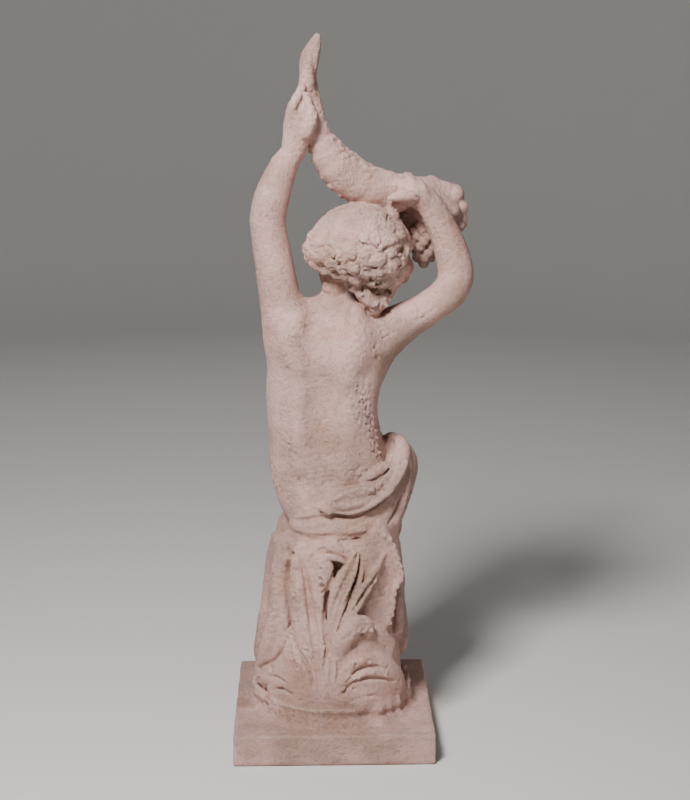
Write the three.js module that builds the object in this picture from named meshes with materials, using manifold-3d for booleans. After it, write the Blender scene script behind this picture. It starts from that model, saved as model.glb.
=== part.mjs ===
// Garden statue of a seated cherub that holds a horn of plenty over its head.
// Figure, drapery, leafy stump, round foot and square plinth are one casting, so they are one solid.
// The figure faces -Y, its left hand is on +X, and the origin is the middle of the plinth's underside.
import * as THREE from 'three';
import { mergeVertices } from 'three/addons/utils/BufferGeometryUtils.js';
import Module from 'manifold-3d';

// Driving sizes, in millimetres
const PLINTH_WIDTH = 205;
const PLINTH_THICKNESS = 32.5;
const PLINTH_ARRIS = 2.5;
const FOOT_RADIUS = 92;
const FOOT_RISE = 21.5;
const SEAT_RISE = 166;
const STUMP_FOOT_WIDTH = 144;
const STUMP_FOOT_DEPTH = 132;
const SEAT_WIDTH = 118;
const SEAT_DEPTH = 97;
const FIGURE_RISE = 500;

// The figure is set out on a carver's grid: from the seat to the horn's tip it is GRID_ROWS units high.
const GRID_ROWS = 500;
const UNIT = FIGURE_RISE / GRID_ROWS;

const FOOT_TOP = PLINTH_THICKNESS + FOOT_RISE;
const SEAT_TOP = FOOT_TOP + SEAT_RISE;
const STUMP_CENTRE_Y = 4;
const SUNK = 4;
const SHORT_EDGE = 3;
const BLUNT = 0.4;

const BACK = new THREE.Vector3(0, 1, 0);
const UP = new THREE.Vector3(0, 0, 1);

const wasm = await Module();
wasm.setup();

/** A closed mesh as a solid that can be joined or cut. */
function solidOf(geometry) {
  const bare = geometry.clone();
  bare.deleteAttribute('normal');
  bare.deleteAttribute('uv');
  const merged = mergeVertices(bare, 1e-4);
  return new wasm.Manifold(new wasm.Mesh({
    numProp: 3,
    vertProperties: new Float32Array(merged.attributes.position.array),
    triVerts: new Uint32Array(merged.index.array),
  }));
}

/** Triangles in groups that share corners: each group is one closed skin. */
function skinsOf(triangles, cornerCount) {
  const parent = Array.from({ length: cornerCount }, (_, corner) => corner);
  const rootOf = (corner) => {
    let at = corner;
    while (parent[at] !== at) {
      parent[at] = parent[parent[at]];
      at = parent[at];
    }
    return at;
  };
  for (let i = 0; i < triangles.length; i += 3) {
    parent[rootOf(triangles[i + 1])] = rootOf(triangles[i]);
    parent[rootOf(triangles[i + 2])] = rootOf(triangles[i]);
  }
  const skins = new Map();
  for (let i = 0; i < triangles.length; i += 3) {
    const root = rootOf(triangles[i]);
    if (!skins.has(root)) skins.set(root, []);
    skins.get(root).push(triangles[i], triangles[i + 1], triangles[i + 2]);
  }
  return [...skins.values()];
}

/** The space inside a skin: negative where it faces inwards, round a pocket. */
function spaceInside(skin, corners) {
  const [a, b, c] = [new THREE.Vector3(), new THREE.Vector3(), new THREE.Vector3()];
  let space = 0;
  for (let i = 0; i < skin.length; i += 3) {
    a.fromArray(corners, skin[i] * 3);
    b.fromArray(corners, skin[i + 1] * 3);
    c.fromArray(corners, skin[i + 2] * 3);
    space += a.dot(b.cross(c)) / 6;
  }
  return space;
}

/** Facets with every edge shorter than SHORT_EDGE drawn to a point, wherever no facet would turn over. */
function drawTogether(triangles, corners) {
  const facets = [];
  const around = new Map();
  for (let i = 0; i < triangles.length; i += 3) {
    const facet = [triangles[i], triangles[i + 1], triangles[i + 2]];
    facets.push(facet);
    for (const corner of facet) {
      if (!around.has(corner)) around.set(corner, new Set());
      around.get(corner).add(facet);
    }
  }
  const place = (corner) => new THREE.Vector3().fromArray(corners, corner * 3);
  const squareTo = (a, b, c) => place(b).sub(place(a)).cross(place(c).sub(place(a)));
  const neighbours = (corner) => new Set(
    [...around.get(corner)].flat().filter((other) => other !== corner),
  );
  const keepsFacing = (gone, kept) => [...around.get(gone)].every((facet) => {
    if (facet.includes(kept)) return true;
    const before = squareTo(...facet);
    const after = squareTo(...facet.map((corner) => (corner === gone ? kept : corner)));
    return after.length() > 1e-3 && before.dot(after) > 0.5 * before.length() * after.length();
  });
  const edges = facets.flatMap(([a, b, c]) => [[a, b], [b, c], [c, a]])
    .map(([a, b]) => ({ a, b, length: place(a).distanceTo(place(b)) }))
    .filter((edge) => edge.length < SHORT_EDGE)
    .sort((one, other) => one.length - other.length);
  for (const { a, b } of edges) {
    if (!around.has(a) || !around.has(b)) continue;
    const besideA = neighbours(a);
    if (!besideA.has(b)) continue;
    const shared = [...neighbours(b)].filter((corner) => besideA.has(corner));
    const [gone, kept] = [[a, b], [b, a]].find((pair) => keepsFacing(...pair)) ?? [];
    if (shared.length !== 2 || gone === undefined) continue;
    for (const facet of around.get(gone)) {
      if (facet.includes(kept)) {
        for (const corner of facet) around.get(corner).delete(facet);
        facet.length = 0;
      } else {
        facet[facet.indexOf(gone)] = kept;
        around.get(kept).add(facet);
      }
    }
    around.delete(gone);
  }
  return facets.flat();
}

/** A joined solid as one geometry. The casting is solid, so sealed pockets between its forms are filled. */
function geometryOf(solid) {
  const mesh = solid.getMesh();
  const corners = new Float32Array(mesh.vertProperties);
  const skins = skinsOf(mesh.triVerts, corners.length / 3);
  const outer = skins.filter((skin) => spaceInside(skin, corners) > 0).flat();
  const geometry = new THREE.BufferGeometry();
  geometry.setAttribute('position', new THREE.BufferAttribute(corners, 3));
  geometry.setIndex(drawTogether(outer, corners));
  geometry.computeVertexNormals();
  return geometry;
}

/** A point of the figure: grid units across, back and above the seat. */
function onFigure(x, y, z) {
  return new THREE.Vector3(x * UNIT, y * UNIT, SEAT_TOP + z * UNIT);
}

/** A point beside the stump: grid units across and back, and a share of the seat's height. */
function besideStump(x, y, share) {
  return new THREE.Vector3(x * UNIT, y * UNIT, FOOT_TOP + share * SEAT_RISE);
}

/** The stump's outline at a share of its height: half its width and half its depth. */
function stumpHalf(share) {
  return [
    THREE.MathUtils.lerp(STUMP_FOOT_WIDTH, SEAT_WIDTH, share) / 2,
    THREE.MathUtils.lerp(STUMP_FOOT_DEPTH, SEAT_DEPTH, share) / 2,
  ];
}

/** A point on the stump's skin, turned from the back towards the figure's left, and lifted off it. */
function onStump(degrees, share, lift = 0) {
  const turn = THREE.MathUtils.degToRad(degrees);
  const [halfWidth, halfDepth] = stumpHalf(share);
  return new THREE.Vector3(
    (halfWidth + lift) * Math.sin(turn),
    STUMP_CENTRE_Y + (halfDepth + lift) * Math.cos(turn),
    FOOT_TOP + share * SEAT_RISE,
  );
}

/** Outwards from the statue's upright axis, for what is wrapped round it. */
function outwards(point) {
  return new THREE.Vector3(point.x, point.y - STUMP_CENTRE_Y, 0).normalize();
}

/**
 * A closed form with rounded ends, swept through stations { at, wide, thick }: half its width across
 * the facing direction and half its thickness along it. swell(angle, t) raises ribs and lobes.
 */
function sweep(stations, { sides = 8, rings = 7, facing = BACK, cap = 0.1, swell = () => 1 } = {}) {
  const path = new THREE.CatmullRomCurve3(stations.map((s) => s.at));
  const sizes = new THREE.CatmullRomCurve3(stations.map((s) => new THREE.Vector3(s.wide, s.thick, 0)));
  const geometry = new THREE.SphereGeometry(1, sides, rings);
  const position = geometry.attributes.position;
  for (let ring = 0; ring <= rings; ring += 1) {
    const inner = THREE.MathUtils.lerp(BLUNT * cap, 1 - BLUNT * cap, (ring - 1) / (rings - 2));
    const t = THREE.MathUtils.clamp(inner, ring === rings ? 1 : 0, ring === 0 ? 0 : 1);
    const fromEnd = Math.min(1, Math.min(t, 1 - t) / cap);
    const rounding = Math.sqrt(fromEnd * (2 - fromEnd));
    const centre = path.getPoint(t);
    const size = sizes.getPoint(t);
    const tangent = path.getTangent(t);
    const toward = (typeof facing === 'function' ? facing(centre) : facing).clone();
    const normal = toward.addScaledVector(tangent, -toward.dot(tangent)).normalize();
    const across = new THREE.Vector3().crossVectors(tangent, normal);
    for (let side = 0; side <= sides; side += 1) {
      const angle = (side % sides) / sides * Math.PI * 2;
      const reach = rounding * swell(angle, t);
      const point = centre.clone()
        .addScaledVector(across, Math.cos(angle) * size.x * reach)
        .addScaledVector(normal, Math.sin(angle) * size.y * reach);
      position.setXYZ(ring * (sides + 1) + side, point.x, point.y, point.z);
    }
  }
  return solidOf(geometry);
}

/** Stations of the figure from rows of [x, y, z, half width, half thickness] in grid units. */
function stations(rows) {
  return rows.map(([x, y, z, wide, thick = wide]) => ({
    at: onFigure(x, y, z), wide: wide * UNIT, thick: thick * UNIT,
  }));
}

/** A limb or fold of the figure, through rows of grid units. */
function limb(rows, options) {
  return sweep(stations(rows), options);
}

/** A rounded lump of the figure, turned about the Y axis by lean radians. */
function lump([x, y, z], [rx, ry, rz], { sides = 8, rings = 5, lean = 0 } = {}) {
  const geometry = new THREE.SphereGeometry(1, sides, rings);
  geometry.rotateX(Math.PI / 2);
  geometry.scale(rx * UNIT, ry * UNIT, rz * UNIT);
  geometry.rotateY(lean);
  const place = onFigure(x, y, z);
  geometry.translate(place.x, place.y, place.z);
  return solidOf(geometry);
}

/** The square slab, with its upright edges taken off. */
function plinth() {
  const half = PLINTH_WIDTH / 2;
  const outline = new THREE.Shape();
  outline.moveTo(-half + PLINTH_ARRIS, -half);
  outline.lineTo(half - PLINTH_ARRIS, -half);
  outline.lineTo(half, -half + PLINTH_ARRIS);
  outline.lineTo(half, half - PLINTH_ARRIS);
  outline.lineTo(half - PLINTH_ARRIS, half);
  outline.lineTo(-half + PLINTH_ARRIS, half);
  outline.lineTo(-half, half - PLINTH_ARRIS);
  outline.lineTo(-half, -half + PLINTH_ARRIS);
  const geometry = new THREE.ExtrudeGeometry(outline, { depth: PLINTH_THICKNESS, bevelEnabled: false });
  return solidOf(geometry);
}

/** The round foot that the stump grows from, with a rough, slightly wavy edge. */
function roundFoot() {
  const shoulder = FOOT_RADIUS * 0.94;
  const profile = [
    [0, PLINTH_THICKNESS - SUNK], [FOOT_RADIUS, PLINTH_THICKNESS - SUNK],
    [FOOT_RADIUS, PLINTH_THICKNESS + FOOT_RISE * 0.35], [shoulder, FOOT_TOP - FOOT_RISE * 0.12],
    [shoulder * 0.93, FOOT_TOP], [0, FOOT_TOP + FOOT_RISE * 0.15],
  ].map(([radius, height]) => new THREE.Vector2(radius, height));
  const geometry = new THREE.LatheGeometry(profile, 28);
  geometry.rotateX(Math.PI / 2);
  const position = geometry.attributes.position;
  for (let i = 0; i < position.count; i += 1) {
    const turn = Math.atan2(position.getY(i), position.getX(i));
    const wave = 1 + 0.018 * Math.cos(5 * turn) + 0.012 * Math.sin(9 * turn) - 0.02;
    position.setX(i, position.getX(i) * wave);
    position.setY(i, position.getY(i) * wave);
  }
  return solidOf(geometry);
}

/** The tree stump, from inside the foot up to the seat, with shallow flutes like bark. */
function stump() {
  const shares = [-0.1, 0, 0.25, 0.5, 0.75, 0.93, 1.02];
  const rows = shares.map((share) => {
    const [wide, thick] = stumpHalf(Math.min(share, 1));
    return { at: new THREE.Vector3(0, STUMP_CENTRE_Y, FOOT_TOP + share * SEAT_RISE), wide, thick };
  });
  return sweep(rows, {
    sides: 21, rings: 8, cap: 0.05, swell: (angle) => 1 + 0.02 * Math.cos(7 * angle),
  });
}

/** One blade that lies on the stump, through rows of [degrees, share, lift, half width, half thickness]. */
function leaf(rows, options = {}) {
  const along = rows.map(([degrees, share, lift, wide, thick]) => ({
    at: onStump(degrees, share, lift * UNIT), wide: wide * UNIT, thick: thick * UNIT,
  }));
  return sweep(along, { sides: 4, rings: 7, facing: outwards, cap: 0.16, ...options });
}

/** The fan of rushes and broad leaves up the back of the stump. */
function rushes() {
  return [
    leaf([
      [11, 0.02, 3, 5, 6], [14, 0.27, 3, 7, 6], [22, 0.47, 4, 9, 6],
      [29, 0.66, 4, 9, 6], [34, 0.84, 3, 8, 5],
    ]),
    leaf([
      [66, 0.04, 2, 9, 6], [67, 0.3, 3, 9, 7], [60, 0.54, 4, 8, 7],
      [55, 0.76, 4, 6, 6], [50, 0.92, 2, 4, 4],
    ]),
    leaf([[40, 0, 4, 14, 6], [38, 0.14, 4, 9, 6], [38, 0.28, 3, 5, 5], [40, 0.44, 2, 2, 4]]),
    leaf([[5, 0.02, 3, 5, 6], [8, 0.34, 3, 4, 6], [13, 0.6, 4, 5, 7], [20, 0.84, 3, 5, 5]]),
    leaf([
      [3, 0.1, 3, 3, 5], [2, 0.4, 4, 4, 6], [-1, 0.63, 6, 8, 6],
      [-9, 0.82, 4, 6, 5], [-20, 0.94, 2, 2, 4],
    ]),
    leaf([[1, 0.16, 3, 3, 5], [-3, 0.45, 4, 3, 6], [-14, 0.75, 4, 4, 6], [-28, 0.94, 2, 2, 4]]),
    leaf([
      [-1, 0.2, 3, 3, 5], [-9, 0.48, 5, 6, 6], [-25, 0.72, 6, 8, 6],
      [-48, 0.9, 4, 5, 5], [-60, 0.95, 1, 2, 3],
    ]),
    leaf([[76, 0.1, 1, 8, 6], [92, 0.4, 2, 9, 7], [104, 0.7, 2, 7, 6], [112, 0.9, 1, 4, 4]]),
  ];
}

/** The broad leaf that rises beside the rushes and curls back over itself. */
function curledLeaf() {
  return leaf([
    [-2, 0.0, 3, 8, 8], [-4, 0.2, 4, 10, 9], [-9, 0.38, 6, 11, 9], [-19, 0.5, 9, 11, 9],
    [-29, 0.5, 12, 9, 8], [-33, 0.42, 13, 6, 6],
  ], { rings: 10 });
}

/** Stacked lobes that spill onto the foot from the leaves' roots, on the side given by sign. */
function rootLobes({ sign, count, start, size, reach }) {
  return Array.from({ length: count }, (_, row) => {
    const share = start - row * 0.115;
    const lift = 3 + row * 3;
    return leaf([
      [sign * 5, share - 0.06, lift, 5 * size, 6 * size],
      [sign * (5 + reach * 0.3), share + 0.02, lift + 4, 8 * size, 8 * size],
      [sign * (5 + reach * 0.65), share - 0.01, lift + 4, 9 * size, 8 * size],
      [sign * (5 + reach), share - 0.1, lift, 7 * size, 6 * size],
    ], { sides: 5, rings: 6 });
  });
}

/** The slab of the seat, under the spread cloth. */
function seat() {
  const [halfWidth, halfDepth] = stumpHalf(1);
  const rise = 9 * UNIT;
  const slab = [-2, -1, 0, 0.8].map((step) => ({
    at: new THREE.Vector3(-2 * UNIT, STUMP_CENTRE_Y, SEAT_TOP + step * rise),
    wide: halfWidth + 5 * UNIT, thick: halfDepth + 3 * UNIT,
  }));
  return sweep(slab, { sides: 20, rings: 5, cap: 0.35 });
}

/** Cloth that falls beside the stump in upright pleats, each down to a share of the seat's height. */
function sideFall(sign, pleats) {
  return pleats.map(({ y, topX, lowX, hem, wide }) => sweep([
    [topX, y * 0.7, 1, 8, 9],
    [topX * 0.7 + lowX * 0.3, y * 0.85, 0.78, wide, 11],
    [topX * 0.35 + lowX * 0.65, y, 0.48, wide, 11],
    [lowX, y, hem + 0.12, wide * 1.1, 11],
    [lowX, y, hem, wide * 0.8, 9],
  ].map(([out, back, share, across, thick]) => ({
    at: besideStump(sign * out, back, share), wide: across * UNIT, thick: thick * UNIT,
  })), { sides: 6, rings: 7, cap: 0.07 }));
}

/** Both side falls: the figure's left one reaches the foot, its right one ends in a corner above it. */
function sideFalls() {
  return [
    ...sideFall(1, [
      { y: -6, topX: 50, lowX: 64, hem: 0.02, wide: 12 },
      { y: -24, topX: 52, lowX: 74, hem: 0.03, wide: 13 },
      { y: -42, topX: 50, lowX: 72, hem: 0.06, wide: 13 },
      { y: -58, topX: 42, lowX: 60, hem: 0.1, wide: 12 },
    ]),
    ...sideFall(-1, [
      { y: -12, topX: 52, lowX: 64, hem: 0.22, wide: 11 },
      { y: -30, topX: 58, lowX: 70, hem: 0.1, wide: 13 },
      { y: -48, topX: 60, lowX: 72, hem: 0.07, wide: 13 },
      { y: -64, topX: 54, lowX: 64, hem: 0.14, wide: 11 },
    ]),
    tornEdge(),
  ];
}

/** The turned edge of cloth down the stump's right side. */
function tornEdge() {
  return leaf([
    [-80, 0.97, 4, 6, 6], [-84, 0.8, 6, 7, 6], [-88, 0.68, 8, 7, 6],
    [-80, 0.56, 7, 6, 6], [-66, 0.42, 5, 4, 4],
  ]);
}

/** Hips, waist, chest and shoulders in one, narrowing to the neck. */
function torso() {
  return limb([
    [-2, 4, -6, 44, 38], [-1, 2, 8, 52, 44], [0, 0, 34, 60, 46], [3, -3, 64, 61, 44], [7, -4, 92, 59, 42],
    [10, -4, 116, 57, 41], [10, -3, 140, 58, 41], [7, -1, 165, 60, 42], [1, 1, 190, 64, 41],
    [-2, 2, 212, 58, 36], [-5, 3, 232, 34, 25], [-5, 3, 246, 18, 19],
  ], { sides: 16, rings: 13, cap: 0.06 });
}

/** Chest, belly, shoulder blades and the slope from neck to shoulder, raised on the trunk. */
function torsoForms() {
  return [
    ...[1, -1].map((side) => lump([1 + side * 27, -5, 184], [31, 37, 29], { sides: 10, rings: 7 })),
    lump([4, -13, 90], [53, 41, 52], { sides: 12, rings: 8 }),
    lump([33, 8, 198], [26, 32, 33], { rings: 6, lean: 0.3 }),
    lump([-34, 8, 192], [26, 32, 31], { rings: 6, lean: -0.4 }),
    lump([44, 2, 206], [22, 25, 26], { rings: 6 }),
    limb([[40, 3, 222, 17, 20], [20, 3, 233, 15, 18], [0, 3, 236, 14, 18]], { facing: UP, rings: 5 }),
  ];
}

/** The neck, leaning to the figure's right. */
function neck() {
  const rows = [[-4, 3, 224, 24, 22], [-5, 1, 240, 17, 18], [-6, 0, 253, 16, 18], [-16, -2, 272, 20, 22]];
  return limb(rows, { rings: 5 });
}

/** The figure's left arm, raised to hold the horn's tail. */
function leftArm() {
  return limb([
    [30, 3, 168, 22, 24], [38, 3, 190, 24, 26], [46, 3, 216, 23.5, 26], [53, 3, 248, 20.5, 22],
    [58, 2, 280, 19, 20.5],
    [62.5, 2, 308, 18, 19.5], [63, 1, 324, 18, 19], [58, -2, 346, 17.5, 17.5], [47, -6, 373, 14.5, 15],
    [39, -9, 388, 11.5, 12.5], [35, -11, 402, 12.5, 10],
  ], { sides: 9, rings: 12, cap: 0.07 });
}

/** The figure's right arm, bent round to hold the horn near its mouth. */
function rightArm() {
  return limb([
    [-26, 4, 196, 28, 28], [-52, 4, 205, 24, 26], [-76, 5, 219, 19.5, 22], [-98, 6, 232, 17, 20],
    [-117, 6, 247, 17.5, 19], [-125, 3, 264, 18, 18.5], [-121, -2, 286, 17, 18], [-113, -8, 308, 15, 16.5],
    [-103, -13, 328, 13.5, 14], [-93, -15, 341, 12, 12], [-84, -14, 347, 12, 11],
  ], { sides: 9, rings: 14, cap: 0.06 });
}

/** A hand: a palm, a thumb and four curled fingers, each through its own joints. */
function hand(palm, digits) {
  return [
    lump(palm.at, palm.size, { lean: palm.lean }),
    ...digits.map((joints) => limb(joints, { sides: 5, rings: 5, cap: 0.2 })),
  ];
}

/** Both hands on the horn. */
function hands() {
  const leftFingers = [0, 1, 2, 3].map((finger) => {
    const z = 430 - finger * 8.5;
    const x = 31 - finger * 2;
    return [[x + 5, -6, z - 6, 4.6], [x, 3, z, 4.8], [x - 9, 3, z + 2, 4.6], [x - 17, -7, z + 1, 4.2]];
  });
  const leftThumb = [[36, -12, 410, 6], [33, -16, 426, 5.4], [27, -19, 441, 4.8], [21, -21, 449, 4]];
  const rightFingers = [0, 1, 2, 3].map((finger) => {
    const x = -69 - finger * 7.5;
    const z = 358 - finger * 2;
    return [[x - 8, -5, z - 10, 5], [x - 3, -4, z, 5], [x, -14, z + 6, 4.8], [x + 2, -28, z + 5, 4.4]];
  });
  const rightThumb = [[-88, -5, 336, 6.5], [-76, 0, 338, 5.6], [-66, 1, 340, 5], [-57, 0, 341, 4.2]];
  return [
    ...hand({ at: [35, -10, 412], size: [12, 11, 16], lean: -0.15 }, [leftThumb, ...leftFingers]),
    ...hand({ at: [-84, -11, 346], size: [15, 11, 12], lean: 0.3 }, [rightThumb, ...rightFingers]),
  ];
}

/** The head leans to the figure's right by this angle, about its own middle. */
const HEAD = { at: [-28, -6, 282], lean: THREE.MathUtils.degToRad(-19) };

/** A point of the head: grid units to its left, back and up in the leaning head's own directions. */
function onHead(across, back, up) {
  const [x, y, z] = HEAD.at;
  const sine = Math.sin(HEAD.lean);
  const cosine = Math.cos(HEAD.lean);
  return [x + across * cosine + up * sine, y + back, z - across * sine + up * cosine];
}

/** Cheeks, brow, nose, lips, chin and ears: a calm child's face on plain proportions. */
function face() {
  const part = ([across, back, up], size, options) => lump(onHead(across, back, up), size, {
    lean: HEAD.lean, sides: 6, rings: 4, ...options,
  });
  const sidesOfFace = [1, -1].flatMap((side) => [
    part([side * 17, -31, -18], [13, 11, 12], { sides: 7, rings: 5 }),
    part([side * 14, -39, -3], [7, 5, 4.5]),
    part([side * 38, -4, -12], [5, 8, 11]),
  ]);
  return [
    part([0, -12, -12], [37, 36, 39], { sides: 12, rings: 8 }),
    part([0, -26, 8], [31, 20, 22], { sides: 8, rings: 5 }),
    part([0, -36, -40], [11, 10, 9]),
    part([0, -45, -28], [9, 6, 4]),
    part([0, -48, -13], [5.5, 7, 5]),
    part([0, -45, -4], [3.5, 6, 11]),
    ...sidesOfFace,
  ];
}

/** The mop of hair: one form whose skin is raised into rows of round curls below a smooth crown. */
function hair() {
  const rings = 15;
  const sides = 26;
  const curlsRound = 13;
  const geometry = new THREE.SphereGeometry(1, sides, rings);
  const position = geometry.attributes.position;
  for (let ring = 0; ring <= rings; ring += 1) {
    const polar = ring / rings * Math.PI;
    const row = Math.floor((ring - 3) / 2);
    const curled = ring > 2 && ring < rings - 2;
    for (let side = 0; side <= sides; side += 1) {
      const around = (side % sides) / sides * Math.PI * 2;
      const raised = Math.cos(curlsRound * around + row * Math.PI) * ((ring - 3) % 2 === 0 ? 1 : 0.5);
      const relief = 1 + (curled ? 0.065 * raised : 0);
      const low = 0.88 + 0.12 * Math.sin(around) * Math.sin(polar);
      const fuller = 1 + 0.1 * Math.cos(around) * Math.sin(polar) * (polar > Math.PI / 2 ? 1 : 0.2);
      const across = 53 * Math.sin(polar) * Math.cos(around) * relief * fuller;
      const back = 53 * Math.sin(polar) * Math.sin(around) * relief;
      const up = 8 + (polar < Math.PI / 2 ? 47 : 44 * low) * Math.cos(polar) * relief;
      const point = onFigure(...onHead(across, back + (up < -8 ? 3 : 0), up));
      position.setXYZ(ring * (sides + 1) + side, point.x, point.y, point.z);
    }
  }
  return [solidOf(geometry)];
}

/** The horn of plenty, ringed with ribs, with a twisted tail and a lobed, flaring mouth. */
function horn() {
  const rows = [
    [13, -8, 499, 3], [17, -9, 488, 6.5], [21, -10, 476, 9.5], [22.5, -11, 462, 10], [22, -12, 446, 10],
    [18.5, -13, 428, 10], [14, -15, 410, 11.5], [8, -17, 394, 14], [-1, -19, 379, 17.5],
    [-14, -21, 365, 20], [-31, -22, 354, 21], [-50, -23, 347, 21.5], [-70, -26, 341, 23],
    [-86, -31, 335, 26], [-97, -38, 330, 32], [-103, -44, 326, 37],
  ];
  const lobes = (angle, t) => 1
    + (t > 0.82 ? 0.1 * Math.cos(6 * angle) * (t - 0.82) / 0.18 : 0)
    + (t < 0.3 ? 0.12 * Math.cos(2 * angle + t * 24) : 0)
    + (t > 0.45 && t < 0.8 ? 0.02 * Math.cos(t * 150) : 0);
  return limb(rows, { sides: 12, rings: 24, cap: 0.03, swell: lobes });
}

/** Fruit heaped in the mouth, and the bunch of small fruit that hangs below it. */
function fruit() {
  const heaped = [0, 1, 2, 3, 4].map((ball) => {
    const turn = ball / 5 * Math.PI * 2;
    const [across, rise] = [17 * Math.cos(turn), 20 * Math.sin(turn)];
    return lump([-110 + across, -52 - 0.35 * across, 322 + rise], [13, 13, 13], { sides: 6, rings: 4 });
  });
  return [
    lump([-115, -57, 322], [14, 14, 14], { sides: 6, rings: 4 }),
    ...heaped,
    limb([[-102, -40, 322, 13], [-101, -44, 300, 15], [-100, -44, 278, 13], [-96, -43, 256, 6]], {
      sides: 8, rings: 9, swell: (angle, t) => 1 + 0.14 * Math.cos(4 * angle) * Math.cos(t * Math.PI * 9),
    }),
  ];
}

/** One leg: a thigh, a bare shin down to the ankle, and a plump foot from heel to toes. */
function leg({ hip, knee, ankle, toes }) {
  const halfway = hip.map((value, axis) => (value + knee[axis]) / 2);
  const shinAt = (t) => onFigure(...knee).lerp(besideStump(...ankle), t);
  const footAt = (t) => besideStump(...ankle).lerp(besideStump(...toes), t);
  const station = (at, wide, thick) => ({ at, wide: wide * UNIT, thick: thick * UNIT });
  return [
    limb([[...hip, 30], [halfway[0], halfway[1], halfway[2] + 4, 31], [...knee, 26]], {
      sides: 9, rings: 6, facing: UP, cap: 0.22,
    }),
    sweep([
      station(shinAt(-0.05), 23, 23), station(shinAt(0.3), 21, 23), station(shinAt(0.65), 17, 19),
      station(shinAt(0.95), 12, 13), station(shinAt(1.06), 12, 13),
    ], { sides: 9, rings: 8, cap: 0.06 }),
    sweep([
      station(footAt(-0.45), 11, 9), station(footAt(0), 13, 14), station(footAt(0.55), 14, 11),
      station(footAt(1.1), 14, 6),
    ], { sides: 9, rings: 7, facing: UP, cap: 0.2 }),
  ];
}

/** Both legs. The right knee is the higher one, and that foot stands on a stone. */
function legs() {
  const stone = [[-40, -50], [-43, -84]].map(([x, y]) => ({
    at: besideStump(x, y, 0.03), wide: 21 * UNIT, thick: 15 * UNIT,
  }));
  return [
    ...leg({ hip: [28, -6, 22], knee: [24, -64, 20], ankle: [26, -56, 0.09], toes: [31, -82, 0.04] }),
    ...leg({ hip: [-34, -6, 32], knee: [-56, -64, 52], ankle: [-42, -58, 0.17], toes: [-45, -84, 0.12] }),
    sweep(stone, { rings: 5, facing: UP, cap: 0.4 }),
  ];
}

/** The cloth round the hips: a band at the seat, the thick roll over the right hip and the lap. */
function drapery() {
  const band = [[48, 10], [46, 26], [36, 40], [18, 47], [-4, 49], [-26, 46], [-44, 37], [-56, 18]];
  const lapFolds = [0, 1, 2, 3, 4].map((fold) => {
    const x = 16 - fold * 13;
    const lift = 2.4 * fold;
    return limb([
      [x + 6, -36, 48 + lift, 8, 7], [x + 2, -62, 40 + lift, 9, 8], [x - 2, -80, 8 + lift, 9, 9],
      [x - 6, -76, -40 - 3 * fold, 9, 9], [x - 8, -70, -78 - 5 * fold, 9, 8],
    ], { sides: 6, rings: 8, cap: 0.07 });
  });
  const waistRoll = [
    [48, 2, 26], [54, -24, 34], [38, -42, 42], [10, -50, 48],
    [-20, -50, 56], [-46, -40, 72], [-62, -22, 86],
  ];
  return [
    limb(band.map(([x, y], i) => [x, y, 9 + 0.6 * i, 13, 6]), {
      sides: 6, rings: 10, facing: outwards, cap: 0.06,
    }),
    limb([
      [20, 46, 28, 3, 3], [10, 48, 31, 8, 6], [-6, 50, 36, 11, 8], [-22, 49, 39, 12, 9],
      [-40, 43, 46, 12, 9],
      [-54, 34, 56, 11, 9], [-64, 18, 70, 10, 9], [-68, -2, 84, 9, 9], [-62, -22, 90, 9, 9],
    ], { sides: 6, rings: 11, facing: outwards, cap: 0.08 }),
    limb(waistRoll.map(([x, y, z]) => [x, y, z, 9, 8]), {
      sides: 6, rings: 9, facing: outwards, cap: 0.08,
    }),
    limb([[-44, 22, 10, 26, 26], [-56, 4, 40, 28, 30], [-60, -22, 56, 31, 31], [-58, -50, 60, 28, 26]],
      { sides: 10, rings: 7, facing: UP, cap: 0.2 }),
    limb([[-38, 44, 52, 3, 4], [-46, 40, 60, 6, 5], [-54, 32, 66, 4, 4]], {
      sides: 5, rings: 5, facing: outwards,
    }),
    ...lapFolds,
  ];
}

const forms = [
  plinth(), roundFoot(), stump(), seat(), ...rushes(), curledLeaf(),
  
  ...rootLobes({ sign: -1, count: 3, start: 0.3, size: 1, reach: 49 }),
  ...rootLobes({ sign: 1, count: 2, start: 0.1, size: 0.8, reach: 62 }), ...sideFalls(),
  torso(), ...torsoForms(), neck(), leftArm(), rightArm(), ...hands(), ...face(), ...hair(),
  horn(), ...fruit(), ...legs(), ...drapery(),
];
const statue = new THREE.Mesh(
  geometryOf(forms.reduce((joined, form) => joined.add(form))),
  new THREE.MeshStandardMaterial({ color: 0xcdbab0, roughness: 0.92, metalness: 0 }),
);
statue.name = 'cherub_statue';

const group = new THREE.Group();
group.add(statue);
export default group;
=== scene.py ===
"""Garden cherub in cast stone, modelled as distances on a grid of clay, then cast, weathered and lit.

The figure faces -Y, its raised left arm is on +X, and the statue stands on the origin. The clay is
measured in millimetres; the finished mesh is in metres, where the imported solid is.
"""

import math

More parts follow.
